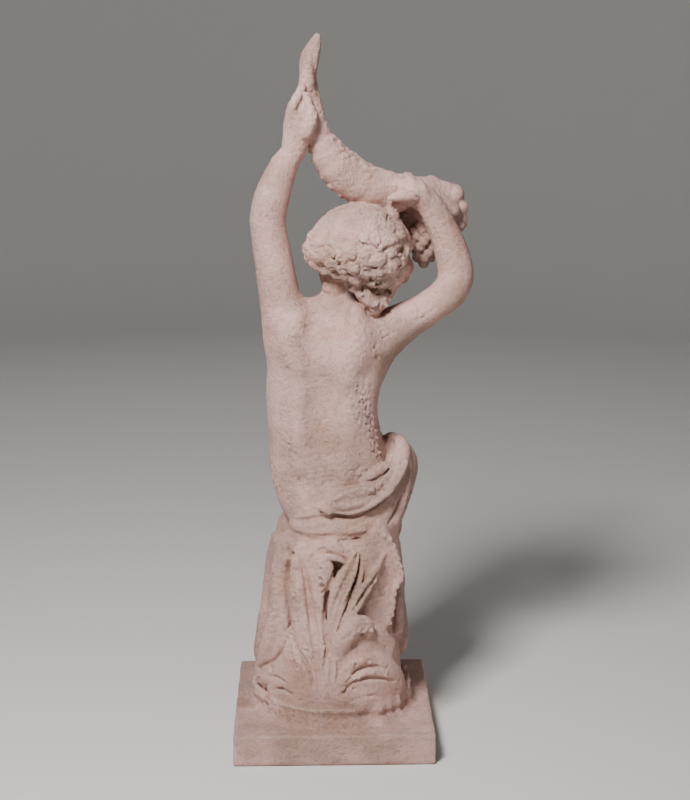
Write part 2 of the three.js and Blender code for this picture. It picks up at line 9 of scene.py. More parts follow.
import bpy
import numpy as np
import openvdb
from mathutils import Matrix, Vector


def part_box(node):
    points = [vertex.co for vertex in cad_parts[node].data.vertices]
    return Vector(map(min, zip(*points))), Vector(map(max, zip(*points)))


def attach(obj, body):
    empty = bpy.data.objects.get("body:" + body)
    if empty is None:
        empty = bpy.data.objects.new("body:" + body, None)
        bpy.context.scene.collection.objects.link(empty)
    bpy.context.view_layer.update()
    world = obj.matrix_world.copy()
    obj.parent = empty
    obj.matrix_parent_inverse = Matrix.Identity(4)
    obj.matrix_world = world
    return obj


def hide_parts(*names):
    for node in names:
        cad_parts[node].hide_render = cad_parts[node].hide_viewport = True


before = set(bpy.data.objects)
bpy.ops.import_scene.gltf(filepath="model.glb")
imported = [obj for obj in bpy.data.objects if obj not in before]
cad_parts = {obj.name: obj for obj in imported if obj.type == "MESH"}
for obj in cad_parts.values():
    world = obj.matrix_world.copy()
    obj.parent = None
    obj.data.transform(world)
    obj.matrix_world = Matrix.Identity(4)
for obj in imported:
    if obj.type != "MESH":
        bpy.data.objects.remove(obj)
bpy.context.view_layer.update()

bl_info = {
    "name": "Cast Stone Cherub",
    "version": (1, 0, 0),
    "blender": (4, 5, 0),
    "location": "View3D > Sidebar > Statue",
    "description": "Models a garden cherub with a horn of plenty in weathered cast stone",
    "category": "Add Mesh",
}

NODE = "cherub_statue"
NODE_LOW, NODE_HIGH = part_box(NODE)

# A millimetre in metres, what counts as far away in millimetres, and two directions
MM = 0.001
FAR = 24.0
BACK = np.array((0.0, 1.0, 0.0))
UP = np.array((0.0, 0.0, 1.0))


def linear(hex_colour):
    """An sRGB hex colour as linear red, green, blue and alpha."""
    channels = [int(hex_colour[i:i + 2], 16) / 255 for i in (1, 3, 5)]
    return [c / 12.92 if c <= 0.04045 else ((c + 0.055) / 1.055) ** 2.4 for c in channels] + [1.0]


class StatueSettings(bpy.types.PropertyGroup):
    """Sizes and colours of the statue."""

    plinth_width: bpy.props.FloatProperty(
        name="Plinth width", description="Side of the square plinth", unit="LENGTH",
        default=NODE_HIGH.y - NODE_LOW.y)
    plinth_thickness: bpy.props.FloatProperty(
        name="Plinth thickness", description="Height of the square plinth", unit="LENGTH", default=0.0325)
    foot_rise: bpy.props.FloatProperty(
        name="Foot rise", description="Height of the round foot above the plinth", unit="LENGTH",
        default=0.0215)
    seat_height: bpy.props.FloatProperty(
        name="Seat height", description="Top of the seat above the ground", unit="LENGTH", default=0.220)
    height: bpy.props.FloatProperty(
        name="Height", description="From the ground to the horn's tip", unit="LENGTH",
        default=NODE_HIGH.z + 0.001)
    carving_step: bpy.props.FloatProperty(
        name="Carving step", description="Spacing of the clay grid, so the finest detail", unit="LENGTH",
        default=0.0013)
    triangles: bpy.props.IntProperty(
        name="Triangles", description="Most triangles in the finished statue", default=194000)
    pit_depth: bpy.props.FloatProperty(
        name="Pit depth", description="Depth of the air-bubble pits", unit="LENGTH", default=0.0011)
    pit_spacing: bpy.props.FloatProperty(
        name="Pit spacing", description="Usual distance between pits", unit="LENGTH", default=0.009)
    sand_depth: bpy.props.FloatProperty(
        name="Sand depth", description="Height of the sandy casting skin", unit="LENGTH", default=0.0008)
    stone_colour: bpy.props.FloatVectorProperty(
        name="Stone", description="Clean cast stone", subtype="COLOR", size=4, default=linear("#d4aba2"))
    warm_colour: bpy.props.FloatVectorProperty(
        name="Warm stone", description="Broad patches with more sand", subtype="COLOR", size=4,
        default=linear("#c4a094"))
    stain_colour: bpy.props.FloatVectorProperty(
        name="Stain", description="Ochre stain in the hollows", subtype="COLOR", size=4,
        default=linear("#a3713f"))
    # The dirt colour goes into pits and sand grains, and into the hollows found by occlusion, where it is
    # partly dirt and partly painted shade
    dirt_and_shade_colour: bpy.props.FloatVectorProperty(
        name="Dirt", description="Dust held in pits and creases", subtype="COLOR", size=4,
        default=linear("#68574d"))
    # The worn edge colour lightens ridges: partly wear, partly a painted highlight
    worn_edge_and_highlight_colour: bpy.props.FloatVectorProperty(
        name="Worn edge", description="Ridges rubbed clean", subtype="COLOR", size=4,
        default=linear("#ead8cf"))


class StageSettings(bpy.types.PropertyGroup):
    """Floor and lights round the statue."""

    floor_colour: bpy.props.FloatVectorProperty(
        name="Floor", description="Plain pale floor", subtype="COLOR", size=4, default=linear("#d9d7d3"))
    key_power: bpy.props.FloatProperty(
        name="Key light", description="Power of the large soft light", unit="POWER", default=40.0)
    fill_power: bpy.props.FloatProperty(
        name="Fill light", description="Power of the lights that open the shadows", unit="POWER", default=2.0)


# Clay

def curve_through(rows, spacing):
    """Rows along a smooth curve through the given rows, at most about spacing apart."""
    rows = np.array(rows, float)
    padded = np.vstack([2 * rows[0] - rows[1], rows, 2 * rows[-1] - rows[-2]])
    pieces = []
    for p0, p1, p2, p3 in zip(padded, padded[1:], padded[2:], padded[3:]):
        steps = max(1, math.ceil(np.linalg.norm((p2 - p1)[:3]) / spacing))
        t = np.arange(steps)[:, None] / steps
        bend = (2 * p0 - 5 * p1 + 4 * p2 - p3) * t ** 2 + (3 * p1 - p0 - 3 * p2 + p3) * t ** 3
        pieces.append(p1 + ((p2 - p0) * t + bend) / 2)
    return np.vstack(pieces + [rows[-1:]])


def unit(vector):
    """The vector with length 1."""
    return vector / np.linalg.norm(vector)


def across_to(toward, tangent):
    """The part of a direction that is square to a tangent, with length 1."""
    return unit(toward - (toward @ tangent) * tangent)


def axes_of(angle):
    """Axes turned about the view from behind."""
    c, s = math.cos(angle), math.sin(angle)
    return np.array(((c, 0, s), (0, 1, 0), (-s, 0, c)))


def blended_min(first, second, blend):
    """The smaller of two distances, with a fillet of about the blend's size where they meet."""
    near = np.maximum(blend - np.abs(first - second), 0)
    return np.minimum(first, second) - near * near / (4 * blend)


def rounded_distance(parts):
    """Distance to an ellipsoid or elliptical bar, from pairs of offset and half size along its axes."""
    scaled = sum((offset / half) ** 2 for offset, half in parts)
    steep = sum((offset / half ** 2) ** 2 for offset, half in parts)
    reach = np.sqrt(scaled)
    return reach * (reach - 1) / (np.sqrt(steep) + 1e-6)


class Clay:
    """A block of clay: at each grid point, the distance in millimetres to the surface of what it holds."""

    def __init__(self, low, high, step):
        self.low = np.array(low, float)
        self.step = step
        self.count = np.ceil((np.array(high) - self.low) / step).astype(int) + 1
        self.depth = np.full(self.count, FAR, np.float32)

    def span(self, low, high):
        """First and last grid index of a region."""
        first = np.floor((low - self.low) / self.step).astype(int)
        last = np.ceil((high - self.low) / self.step).astype(int) + 1
        return np.clip(first, 0, self.count - 1), np.clip(last, 1, self.count)

    def axes(self, first, last):
        """The region's coordinates, as three arrays that broadcast together."""
        lines = [self.low[i] + self.step * np.arange(first[i], last[i]) for i in range(3)]
        return [line.astype(np.float32) for line in np.meshgrid(*lines, indexing="ij", sparse=True)]

    def window(self, form):
        """The part of the clay that a form covers."""
        first, distance = form
        return tuple(slice(a, a + n) for a, n in zip(first, distance.shape))

    def join(self, form, blend=2.0):
        """Adds a form, with a fillet round it."""
        window = self.window(form)
        self.depth[window] = blended_min(self.depth[window], form[1], blend)

    def cut(self, form, blend=2.0):
        """Cuts a form away, with softened edges."""
        window = self.window(form)
        self.depth[window] = -blended_min(-self.depth[window], form[1], blend)

    def swept(self, rows, facing=BACK, swell=None, margin=8.0, spacing=5.0, cap=FAR):
        """A bar through rows of [x, y, z, half width, half thickness], its thickness along facing."""
        path = curve_through(rows, spacing)
        reach = np.maximum(path[:, 3], path[:, 4]).max() * 1.2 + margin
        first, last = self.span(path[:, :3].min(0) - reach, path[:, :3].max(0) + reach)
        distance = np.full(last - first, FAR, np.float32)
        for i, (a, b) in enumerate(zip(path, path[1:])):
            near = max(a[3:].max(), b[3:].max()) * 1.2 + margin
            low, high = self.span(np.minimum(a, b)[:3] - near, np.maximum(a, b)[:3] + near)
            low, high = np.maximum(low, first), np.minimum(high, last)
            if (high <= low).any():
                continue
            window = tuple(slice(p, q) for p, q in zip(low - first, high - first))
            shares = (i / (len(path) - 1), (i + 1) / (len(path) - 1))
            part = self.segment(self.axes(low, high), a, b, facing, swell, shares, cap)
            np.minimum(distance[window], part, out=distance[window])
        return first, distance

    @staticmethod
    def segment(axes, a, b, facing, swell, shares, cap):
        """Distance to one straight stretch of a swept bar."""
        length = max(np.linalg.norm((b - a)[:3]), 1e-6)
        tangent = (b - a)[:3] / length
        toward = facing((a + b)[:3] / 2) if callable(facing) else facing
        normal = across_to(toward, tangent)
        side = np.cross(tangent, normal)
        offset = [axis - start for axis, start in zip(axes, a[:3])]
        along = sum(o * float(t) for o, t in zip(offset, tangent)) / length
        share = np.clip(along, 0, 1)
        beyond = (along - share) * length
        across = sum(o * float(s) for o, s in zip(offset, side))
        outward = sum(o * float(n) for o, n in zip(offset, normal))
        wide = a[3] + (b[3] - a[3]) * share
        thick = a[4] + (b[4] - a[4]) * share
        if swell is not None:
            angle = np.arctan2(outward / thick, across / wide)
            factor = swell(angle, shares[0] + (shares[1] - shares[0]) * share)
            wide, thick = wide * factor, thick * factor
        end = np.minimum(np.minimum(wide, thick), cap)
        return rounded_distance(((across, wide), (outward, thick), (beyond, end)))

    def lump(self, centre, radii, axes=np.eye(3), margin=8.0):
        """An ellipsoid with the given half sizes along the given axes."""
        centre = np.array(centre, float)
        reach = np.abs(np.array(axes).T @ np.diag(radii)).sum(1) + margin
        first, last = self.span(centre - reach, centre + reach)
        offset = [axis - start for axis, start in zip(self.axes(first, last), centre)]
        turned = [sum(o * float(d) for o, d in zip(offset, axis)) for axis in axes]
        return first, rounded_distance(list(zip(turned, radii)))

    def behind(self, at, x, z):
        """How far back the surface lies at a place on the figure, in its grid units."""
        point = at.spot((x, 0, z))
        i, _, k = np.round((point - self.low) / self.step).astype(int)
        column = self.depth[i, :, k]
        inside = np.flatnonzero(column < 0)
        if not len(inside):
            return 0.0
        j = min(inside[-1], len(column) - 2)
        share = column[j] / (column[j] - column[j + 1])
        return float(self.low[1] + (j + share) * self.step) / at.unit

    def lift_at(self, at, turn, share):
        """How far the surface stands off the stump's skin, found by a probe pushed in from outside."""
        outermost, innermost, pitch = 32.0, -12.0, 0.5
        outer, inner = (at.on_stump(turn, share, lift) for lift in (outermost, innermost))
        steps = round((outermost - innermost) / pitch) + 1
        probe = outer + (inner - outer) * np.linspace(0, 1, steps)[:, None]
        i, j, k = np.clip(np.round((probe - self.low) / self.step).astype(int), 0, self.count - 1).T
        inside = np.flatnonzero(self.depth[i, j, k] < 0)
        return outermost - pitch * inside[0] if len(inside) else 0.0

    def mesh(self, name):
        """The clay's surface as a mesh in metres."""
        grid = openvdb.FloatGrid(FAR)
        band = 4 * self.step
        grid.copyFromArray(np.ascontiguousarray(np.clip(self.depth, -band, band)))
        points, triangles, quads = grid.convertToPolygons(isovalue=0.0, adaptivity=0.0)
        points = (points * self.step + self.low) * MM
        corners = np.concatenate([triangles.ravel(), quads.ravel()]).astype(np.int32)
        sizes = np.concatenate([np.full(len(triangles), 3), np.full(len(quads), 4)])
        mesh = bpy.data.meshes.new(name)
        mesh.vertices.add(len(points))
        mesh.vertices.foreach_set("co", points.astype(np.float32).ravel())
        mesh.loops.add(len(corners))
        mesh.loops.foreach_set("vertex_index", corners)
        mesh.polygons.add(len(sizes))
        mesh.polygons.foreach_set("loop_start", np.concatenate([[0], np.cumsum(sizes)[:-1]]).astype(np.int32))
        mesh.update(calc_edges=True)
        mesh.validate()
        return mesh


class Layout:
    """Where things are, in millimetres, from the statue's driving sizes."""

    stump_centre_y = 4.0
    stump_foot = (72.0, 66.0)
    stump_top = (59.0, 48.5)
    grid_rows = 500.0

    def __init__(self, settings):
        self.plinth_half = settings.plinth_width / MM / 2
        self.plinth_top = settings.plinth_thickness / MM
        self.foot_top = self.plinth_top + settings.foot_rise / MM
        self.seat = settings.seat_height / MM
        self.top = settings.height / MM
        self.unit = (self.top - 1 - self.seat) / (self.grid_rows - 1)
        self.head_at = (-28, -6, 282)
        self.head_axes = axes_of(math.radians(19))

    def figure(self, rows):
        """Rows in the figure's grid units, above the seat, as rows in millimetres."""
        rows = np.atleast_2d(np.array(rows, float)) * self.unit
        rows[:, 2] += self.seat
        return rows

    def spot(self, place):
        """One place in the figure's grid units as a point in millimetres."""
        return self.figure([place])[0]

    def on_head(self, across, back, up):
        """A point of the leaning head, in the figure's grid units."""
        return np.array(self.head_at) + np.array((across, back, up)) @ self.head_axes

    def stump_z(self, share):
        """Height at a share of the stump's."""
        return self.foot_top + share * (self.seat - self.foot_top)

    def stump_half(self, share):
        """Half width and half depth of the stump at a share of its height."""
        return tuple(low + (high - low) * share for low, high in zip(self.stump_foot, self.stump_top))

    def on_stump(self, degrees, share, lift):
        """A point on the stump's skin, turned from the back towards the figure's left."""
        turn = math.radians(degrees)
        wide, deep = self.stump_half(share)
        return np.array((
            (wide + lift) * math.sin(turn),
            self.stump_centre_y + (deep + lift) * math.cos(turn),
            self.stump_z(share)))

    def stump_rows(self, rows):
        """Rows of [degrees, share, lift, half width, half thickness] as rows in millimetres."""
        return np.array([[*self.on_stump(*row[:3]), *row[3:]] for row in rows])

    def outwards(self, point):
        """Outwards from the statue's upright axis."""
        return unit(np.array((point[0], point[1] - self.stump_centre_y, 1e-3)))


def along_back(clay, at, points, lift, wide, thick, ends=1.0):
    """Rows that follow the surface behind, at a lift over it, with the ends as a share of the rest."""
    rows = [[x, clay.behind(at, x, z) + lift, z, wide, thick] for x, z in points]
    rows[0][3:], rows[-1][3:] = [wide * ends, thick * ends], [wide * ends, thick * ends]
    return at.figure(rows)


def skin_behind(clay, at, x, z, sink=0.0):
    """The surface round a place behind the figure, as a function of the way aside and up from it."""
    def skin(aside, up):
        return at.spot((x + aside, clay.behind(at, x + aside, z + up) - sink, z + up))
    return skin


def skin_on_stump(clay, at, turn, share):
    """The surface round a place on the stump, as a function of the millimetres aside and up from it."""
    degrees, height = 0.85, 166

    def skin(aside, up):
        place = turn - aside * degrees, share + up / height
        return at.on_stump(*place, clay.lift_at(at, *place))
    return skin


# The base: plinth, foot, stump, leaves and falls of cloth

def model_plinth(clay, at):
    """The square slab, its arrises rounded and a little worn, as a mould leaves them."""
    arris = 2.2
    reach = at.plinth_half + 6
    low, high = (-reach, -reach, -9), (reach, reach, at.plinth_top + 8)
    first, last = clay.span(np.array(low), np.array(high))
    x, y, z = clay.axes(first, last)
    half_height = at.plinth_top / 2
    worn = 0.5 * np.sin(x * 0.11 + 2) * np.sin(y * 0.13 + z * 0.21) - 0.3
    beyond = [
        np.abs(x) - (at.plinth_half - arris), np.abs(y) - (at.plinth_half - arris),
        np.abs(z - half_height) - (half_height - arris),
    ]
    outside = np.sqrt(sum(np.maximum(b, 0) ** 2 for b in beyond))
    inside = np.minimum(np.maximum(np.maximum(beyond[0], beyond[1]), beyond[2]), 0)
    body = outside + inside - arris - worn * np.clip(z / 10, 0, 1)
    clay.join((first, body.astype(np.float32)), 0.5)
    # Dents in the side behind
    for x, z, wide, tall in (
            (-78, 24, 1.5, 1.5), (-52, 30, 9, 0.8), (-44, 21, 1.2, 1.6), (-8, 12, 4, 1), (20, 26, 1.4, 1.2),
            (60, 22, 1.6, 2.2), (84, 30, 2, 1.2), (41, 9, 1.2, 1.2), (-90, 34, 3, 1.4), (6, 39, 6, 1)):
        clay.cut(clay.lump((x, at.plinth_half, z), (wide, 1.5, tall)), 0.6)
    first, last = clay.span(clay.low, np.array((reach, reach, 6.0)))
    clay.cut((first, np.broadcast_to(clay.axes(first, last)[2], last - first)), 0.4)


def model_foot(clay, at):
    """The round foot: a rough, low mound with a wavy edge that flares down to the plinth."""
    radius, edge = 92.0, 1.8
    reach = radius + 10
    low, high = (-reach, -reach, at.plinth_top - 14), (reach, reach, at.foot_top + 12)
    first, last = clay.span(np.array(low), np.array(high))
    x, y, z = clay.axes(first, last)
    turn = np.arctan2(y, x)
    out = np.sqrt(x * x + y * y)
    wave = 1.8 * np.cos(5 * turn + 0.6) + 1.2 * np.sin(9 * turn) + 0.9 * np.cos(17 * turn + 1.2)
    wave = wave + 0.7 * np.sin(31 * turn + 2 * np.sin(5 * turn)) + 0.5 * np.sin(53 * turn + z * 0.4)
    flare = 7.0 * np.clip((z - at.plinth_top) / 8, 0, 1) ** 0.6
    rim = out - (radius - 1.5 + wave - flare - 0.8 * np.sin(z * 0.5 + 3 * turn))
    dish = 2.8 * np.exp(-((out - radius + 17) / 7) ** 2)
    top = z - (at.foot_top - 1 + 1.3 * np.sin(x * 0.13 + 1) * np.cos(y * 0.16) - dish)
    beyond = np.maximum(rim + edge, 0), np.maximum(top + edge, 0)
    body = np.sqrt(beyond[0] ** 2 + beyond[1] ** 2) + np.minimum(np.maximum(rim + edge, top + edge), 0) - edge
    clay.join((first, np.maximum(body, at.plinth_top - 10 - z)), 2.5)


def leaf(clay, at, rows, blend=1.5, vein=0.0):
    """A blade that lies on the stump, with a groove down its middle where vein is a depth."""
    clay.join(clay.swept(at.stump_rows(rows), at.outwards, spacing=4.0), blend)
    if vein:
        line = [[turn, share, lift + thick + 0.6, 1.6, vein + 0.6] for turn, share, lift, wide, thick in rows]
        clay.cut(clay.swept(at.stump_rows(line), at.outwards, spacing=4.0), 1.5)


def rough_patch(clay, skin, wide, tall, count, size):
    """Flakes and nicks strewn over a patch, whose skin function gives the surface round its middle."""
    for i in range(count):
        out, turn = math.sqrt((i + 0.5) / count), i * 2.399 + wide
        spot = skin(wide * out * math.sin(turn), tall * out * math.cos(turn))
        grain = size * (0.75 + 0.35 * math.sin(i * 1.9 + tall))
        if i % 4 == 1:
            clay.cut(clay.lump(spot, (grain * 1.6, 1.0, grain * 0.7), axes_of(i * 1.1)), 0.6)
        else:
            clay.join(clay.lump(spot, (grain * 1.5, 1.4, grain * 0.9), axes_of(i * 1.1)), 0.7)


def furrow(clay, at, line, wide, deep, blend=2.0):
    """A tapering groove of the given depth, along [degrees, share] points on whatever lies on the stump."""
    rows = []
    height = 150
    fine = curve_through([[turn, share * height, 0] for turn, share in line], 4.0)
    for i, (turn, rise, _) in enumerate(fine):
        taper = 0.3 + 0.7 * math.sin(math.pi * (i + 0.5) / len(fine))
        share = rise / height
        rows.append([turn, share, clay.lift_at(at, turn, share) + 0.4, wide * taper, deep * taper + 0.4])
    clay.cut(clay.swept(at.stump_rows(rows), at.outwards, spacing=3.0), blend)


def model_stump(clay, at):
    """The stump: a tapering, softly fluted trunk up to the seat."""
    shares = (-0.08, 0.0, 0.25, 0.5, 0.75, 0.97)
    rows = [[0, at.stump_centre_y, at.stump_z(share), *at.stump_half(max(share, 0))] for share in shares]
    clay.join(clay.swept(rows, swell=lambda angle, t: 1 + 0.015 * np.cos(7 * angle + 0.5), cap=6.0), 6.0)


# What lies on the stump, in the order it is laid: rows of degrees round from the back, share of the stump's
# height, lift, half width and half thickness, then the fillet and the depth of the vein
LEAVES = (
    (((62.4, 0.93, 1, 5, 5), (60.4, 0.765, 3, 7, 7), (56.8, 0.632, 4, 8, 8), (56.8, 0.492, 5, 9, 9),
      (61.3, 0.342, 6, 10, 9), (71, 0.201, 6, 9, 8), (79.9, 0.05, 5, 8, 7)), 3, 0),
    (((52.4, 0.86, 1, 4, 4), (54.3, 0.71, 2, 5, 5), (50, 0.578, 3, 6, 6), (46.3, 0.483, 3, 6, 6),
      (49, 0.354, 3, 7, 6), (58, 0.2, 2, 8, 5)), 2.5, 0),
    (((36.1, 0.93, 2, 5, 5), (33.8, 0.814, 3, 9, 7), (32.1, 0.691, 4, 11, 8), (28.9, 0.571, 5, 12, 8),
      (24.5, 0.437, 5, 12.5, 8), (20.5, 0.315, 4, 12, 7), (17.5, 0.167, 2, 12, 6), (16, 0.02, 0, 12, 6),
      (15, -0.1, -1, 12, 6)), 2.0, 0.9),
    (((61.7, 0.355, 1, 8, 6), (69.8, 0.219, 1, 12, 7), (77.7, 0.094, 1, 15, 8)), 6.0, 0),
    (((37.7, 0.461, 4, 1.5, 3.5), (38.1, 0.37, 4, 7, 5), (39.3, 0.262, 4, 13, 6), (41.6, 0.152, 3, 19, 7),
      (43.2, 0.042, 2, 24, 7), (44.1, -0.036, 0, 26, 7)), 2.5, 0),
    (((36.9, 0.45, 5, 1.5, 4), (30.7, 0.359, 7, 6, 5), (25.5, 0.279, 8, 9, 6), (21.8, 0.195, 7, 11, 6),
      (20.3, 0.119, 5, 12, 6), (20.6, 0.02, 3, 13, 5), (21, -0.1, 1, 13, 5)), 2.5, 0),
    (((16.4, 0.93, 3, 6, 5), (15.9, 0.827, 4, 7.5, 6), (12.9, 0.707, 5, 6.5, 7), (10.8, 0.573, 5, 5, 7),
      (9, 0.425, 5, 4.3, 7), (8.2, 0.275, 5, 4.3, 7), (7.8, 0.124, 4, 5.5, 7), (7.8, 0.02, 2, 8, 6),
      (7.8, -0.1, 0, 9, 6)), 1.0, 0),
    (((-8, 0.45, 2, 6, 4), (-16, 0.56, 3, 8, 4), (-25, 0.68, 3.5, 9, 4), (-32, 0.8, 3.5, 9, 4),
      (-36, 0.93, 2, 9, 4)), 6.0, 0),
    (((20, 0.86, 1, 5, 4), (19, 0.7, 2, 6, 4), (17, 0.55, 3, 6, 4), (14.5, 0.4, 3, 6, 4),
      (12, 0.24, 3, 6, 4)), 4.0, 0),
    (((3.9, 0.1, 3, 3, 6), (4, 0.326, 4, 3, 5), (2.8, 0.477, 5, 4, 5), (0.3, 0.604, 7, 6, 5),
      (-3.9, 0.727, 8, 8, 5), (-9.6, 0.822, 8, 7, 4.5), (-15, 0.891, 7, 4, 4), (-18.8, 0.945, 5, 1.4, 3)),
      0.8, 0),
    (((2.4, 0.2, 4, 2.5, 5), (0.9, 0.401, 5, 2.4, 6), (-3.3, 0.539, 6, 2.8, 6), (-9.2, 0.661, 7, 3.2, 6),
      (-14.4, 0.77, 7, 3.3, 6), (-19.2, 0.864, 6, 2.4, 5), (-22.6, 0.94, 3, 1.2, 3)), 0.8, 0),
    (((1, 0.25, 4, 2.5, 5), (-5.1, 0.476, 5, 2.5, 6), (-12.2, 0.598, 6, 2.8, 6), (-19, 0.718, 6, 3.2, 6),
      (-23.8, 0.811, 6, 2.8, 5), (-27.1, 0.915, 3, 1.3, 3)), 0.8, 0),
    (((-0.2, 0.28, 4, 3, 5), (-6.6, 0.453, 6, 4, 4.5), (-13.6, 0.564, 10, 5.2, 4.5),
      (-21.5, 0.672, 11, 6.2, 4), (-30, 0.765, 11, 5.4, 3.6), (-39, 0.84, 10, 3.2, 3.2),
      (-48, 0.905, 8.5, 1.2, 2.4)), 0.8, 0.8),
    (((5, -0.1, 0, 9, 6), (3.9, 0.02, 2, 8, 6), (3.1, 0.15, 5, 7, 7), (0.6, 0.27, 7, 8, 7),
      (-4, 0.38, 10, 9, 7), (-11, 0.465, 12, 10, 6), (-18.5, 0.515, 14, 10, 5.5), (-25, 0.5, 14.5, 8, 5),
      (-28, 0.455, 12.5, 5, 4)), 1.0, 0.8),
    (((-10, 0.3, 3, 10, 6), (-22, 0.36, 4, 13, 6), (-38, 0.36, 3, 14, 6), (-52, 0.28, 2, 13, 6)), 8.0, 0),
    (((58, 0.11, 2, 6, 5), (66, 0.07, 3, 8, 6), (74, 0.03, 2, 8, 6)), 3.0, 0),
    (((-2.7, 0.086, 1, 14, 7), (-10.1, 0.15, 4, 19, 8), (-21.8, 0.18, 6, 21, 8), (-39.1, 0.135, 6, 21, 8),
      (-55, 0.046, 4, 19, 8), (-68.1, -0.049, 1, 15, 7)), 7.0, 0),
    (((-4.2, 0.152, 4, 3, 4), (-8.8, 0.226, 9, 4, 4), (-18.2, 0.284, 11.5, 4.5, 3.2),
      (-29.8, 0.28, 10, 4, 3), (-39.9, 0.235, 4, 2, 3)), 1.8, 0),
    (((-3.1, 0.088, 4, 3, 4), (-8.7, 0.157, 8.5, 3.6, 4), (-17.9, 0.198, 11, 4, 3.2),
      (-31.5, 0.19, 9.5, 3.5, 3), (-46.3, 0.138, 3, 2, 3)), 1.8, 0),
    (((-7.3, 0.021, 2, 4, 5), (-14, 0.061, 5, 5, 5), (-23.7, 0.069, 6, 5, 5), (-38.2, 0.03, 2, 3, 4)),
     3.0, 0),
    (((-5, 0.035, 1, 12, 8), (-16, 0.02, 4, 13, 8), (-27, 0.01, 5, 13, 8), (-42, -0.02, 3, 13, 8)), 5.0, 0),
    (((12, 0.913, 6, 9, 5), (7.8, 0.858, 8, 10, 5), (6.7, 0.789, 8, 8, 5), (7.9, 0.723, 6, 5, 4),
      (8.6, 0.664, 4, 1.5, 3)), 1.6, 0),
    (((13.1, 0.921, 7, 3, 3.4), (3.6, 0.932, 10, 3.4, 3.4), (-4.7, 0.917, 10, 3, 3.2),
      (-9.9, 0.89, 8, 1.6, 2.6)), 1.0, 0),
)
# Turn, share, half width, half height and count of flakes
ROUGH_PATCHES = (
    (8.7, 0.879, 4.3, 6.2, 16), (8.2, 0.791, 3.3, 7.1, 16), (9, 0.717, 1.9, 5.2, 9),
    (33.8, 0.826, 5.2, 8.6, 16), (29.6, 0.704, 5.2, 8.6, 12), (-22.8, 0.477, 6.2, 3.3, 12),
    (-19.8, 0.274, 11, 3.2, 22), (-20.4, 0.19, 12, 3.2, 22), (-38, 0.2, 5, 8, 10),
    (-9.9, 0.1, 4.8, 5.7, 10), (53.5, 0.526, 2.9, 11.9, 10), (-31.2, 0.765, 4.3, 7.1, 8),
    (29.8, 0.278, 6.2, 9.5, 12),
)
# Degrees and share along each groove, then half width and depth
FURROWS = (
    (((-2, 0.901), (0.6, 0.813), (4.6, 0.74), (6.9, 0.637), (7.3, 0.533), (6.4, 0.385)), 2.0, 2.2),
    (((-17.3, 0.917), (-11.7, 0.825), (-5.4, 0.724), (0.7, 0.608), (3.6, 0.489), (4.9, 0.386)), 2.0, 2.4),
    (((-25.1, 0.919), (-21.3, 0.834), (-14.4, 0.721), (-6.2, 0.606), (-0.8, 0.49)), 1.9, 2.2),
    (((-48.5, 0.876), (-39.8, 0.817), (-30.5, 0.754), (-21.4, 0.675), (-14.7, 0.606), (-9.4, 0.538)),
     2.0, 3.4),
    (((-9.1, 0.153), (-14.8, 0.214), (-22.7, 0.242), (-32.2, 0.232), (-38.9, 0.199)), 2.2, 4),
    (((-7.1, 0.086), (-13.3, 0.149), (-23.4, 0.17), (-36.1, 0.148), (-48.5, 0.104)), 2.2, 4),
    (((-11.9, 0.03), (-19, 0.055), (-28.9, 0.05), (-37.5, 0.02)), 1.5, 1.5),
    (((20, 0.837), (20.6, 0.896), (17.7, 0.941), (7.7, 0.968)), 2, 3.6),
    (((51.2, 0.964), (49.6, 0.922), (44.7, 0.899), (38.3, 0.927)), 2.6, 4.6),
    (((12.9, 0.885), (14.4, 0.803), (13, 0.708), (10.8, 0.606), (9.1, 0.489)), 2, 1.2),
    (((30.7, 0.918), (26.1, 0.818), (21.9, 0.688), (17.9, 0.528), (14.4, 0.352), (12.2, 0.205)), 3.0, 2.2),
    (((47.3, 0.846), (44.1, 0.738), (41.4, 0.622), (38.3, 0.507)), 3.4, 5),
    (((58.5, 0.881), (61.6, 0.739), (63.3, 0.583), (64.9, 0.426), (68.3, 0.293)), 3.4, 4.5),
    (((36.5, 0.442), (29.8, 0.368), (22, 0.287), (17.1, 0.202), (15.4, 0.098)), 2.2, 4.8),
    (((38.2, 0.409), (44.6, 0.308), (54.3, 0.222), (73.1, 0.124)), 2.4, 3.6),
    (((61, 0.1), (54, 0.118), (46.5, 0.129), (37.3, 0.116)), 1.7, 2.6),
    (((53.4, 0.03), (46, 0.059), (38.7, 0.068), (31.9, 0.046)), 1.6, 3.2),
    (((36.7, 0.389), (33, 0.274), (30.9, 0.157), (30, 0.052)), 1.8, 2.2),
    (((6, 0.356), (7.3, 0.252), (8.5, 0.147), (8.8, 0.087)), 1.6, 2.4),
    (((0.8, 0.386), (2.3, 0.282), (2, 0.178), (-0.1, 0.088)), 2.2, 3.2),
    (((-1.9, 0.296), (-3.2, 0.222), (-1.3, 0.148)), 1.4, 2.2),
)
# Loose cloth at the edges, as the leaves are given
LOOSE_CLOTH = (
    (((-78, 1.0, 3, 10, 6), (-84, 0.8, 5, 12, 6), (-88, 0.66, 6, 13, 6), (-82, 0.52, 4, 12, 6),
      (-80, 0.36, 2, 12, 6)), 3.0, 0),
    (((-39.5, 1.006, 0, 15, 4), (-45.7, 0.924, 1, 16, 4), (-50.8, 0.834, 2, 16, 4),
      (-52.8, 0.755, 2.5, 16, 4), (-47.3, 0.693, 2, 15, 4), (-43.1, 0.628, 1, 14, 4),
      (-40.9, 0.571, 0, 14, 4), (-37.6, 0.501, -2, 12, 4)), 9.0, 0),
)
# The edge of the torn sheet, in millimetres
TORN_EDGE = (
    (-51.6, 46, 226.0), (-59.8, 43, 214.9), (-65.9, 40, 196.0), (-69.5, 38, 178.7),
    (-64.5, 41, 170.3), (-61.0, 44, 159.0), (-60.5, 46, 148.2), (-56.0, 48, 131.7),
)


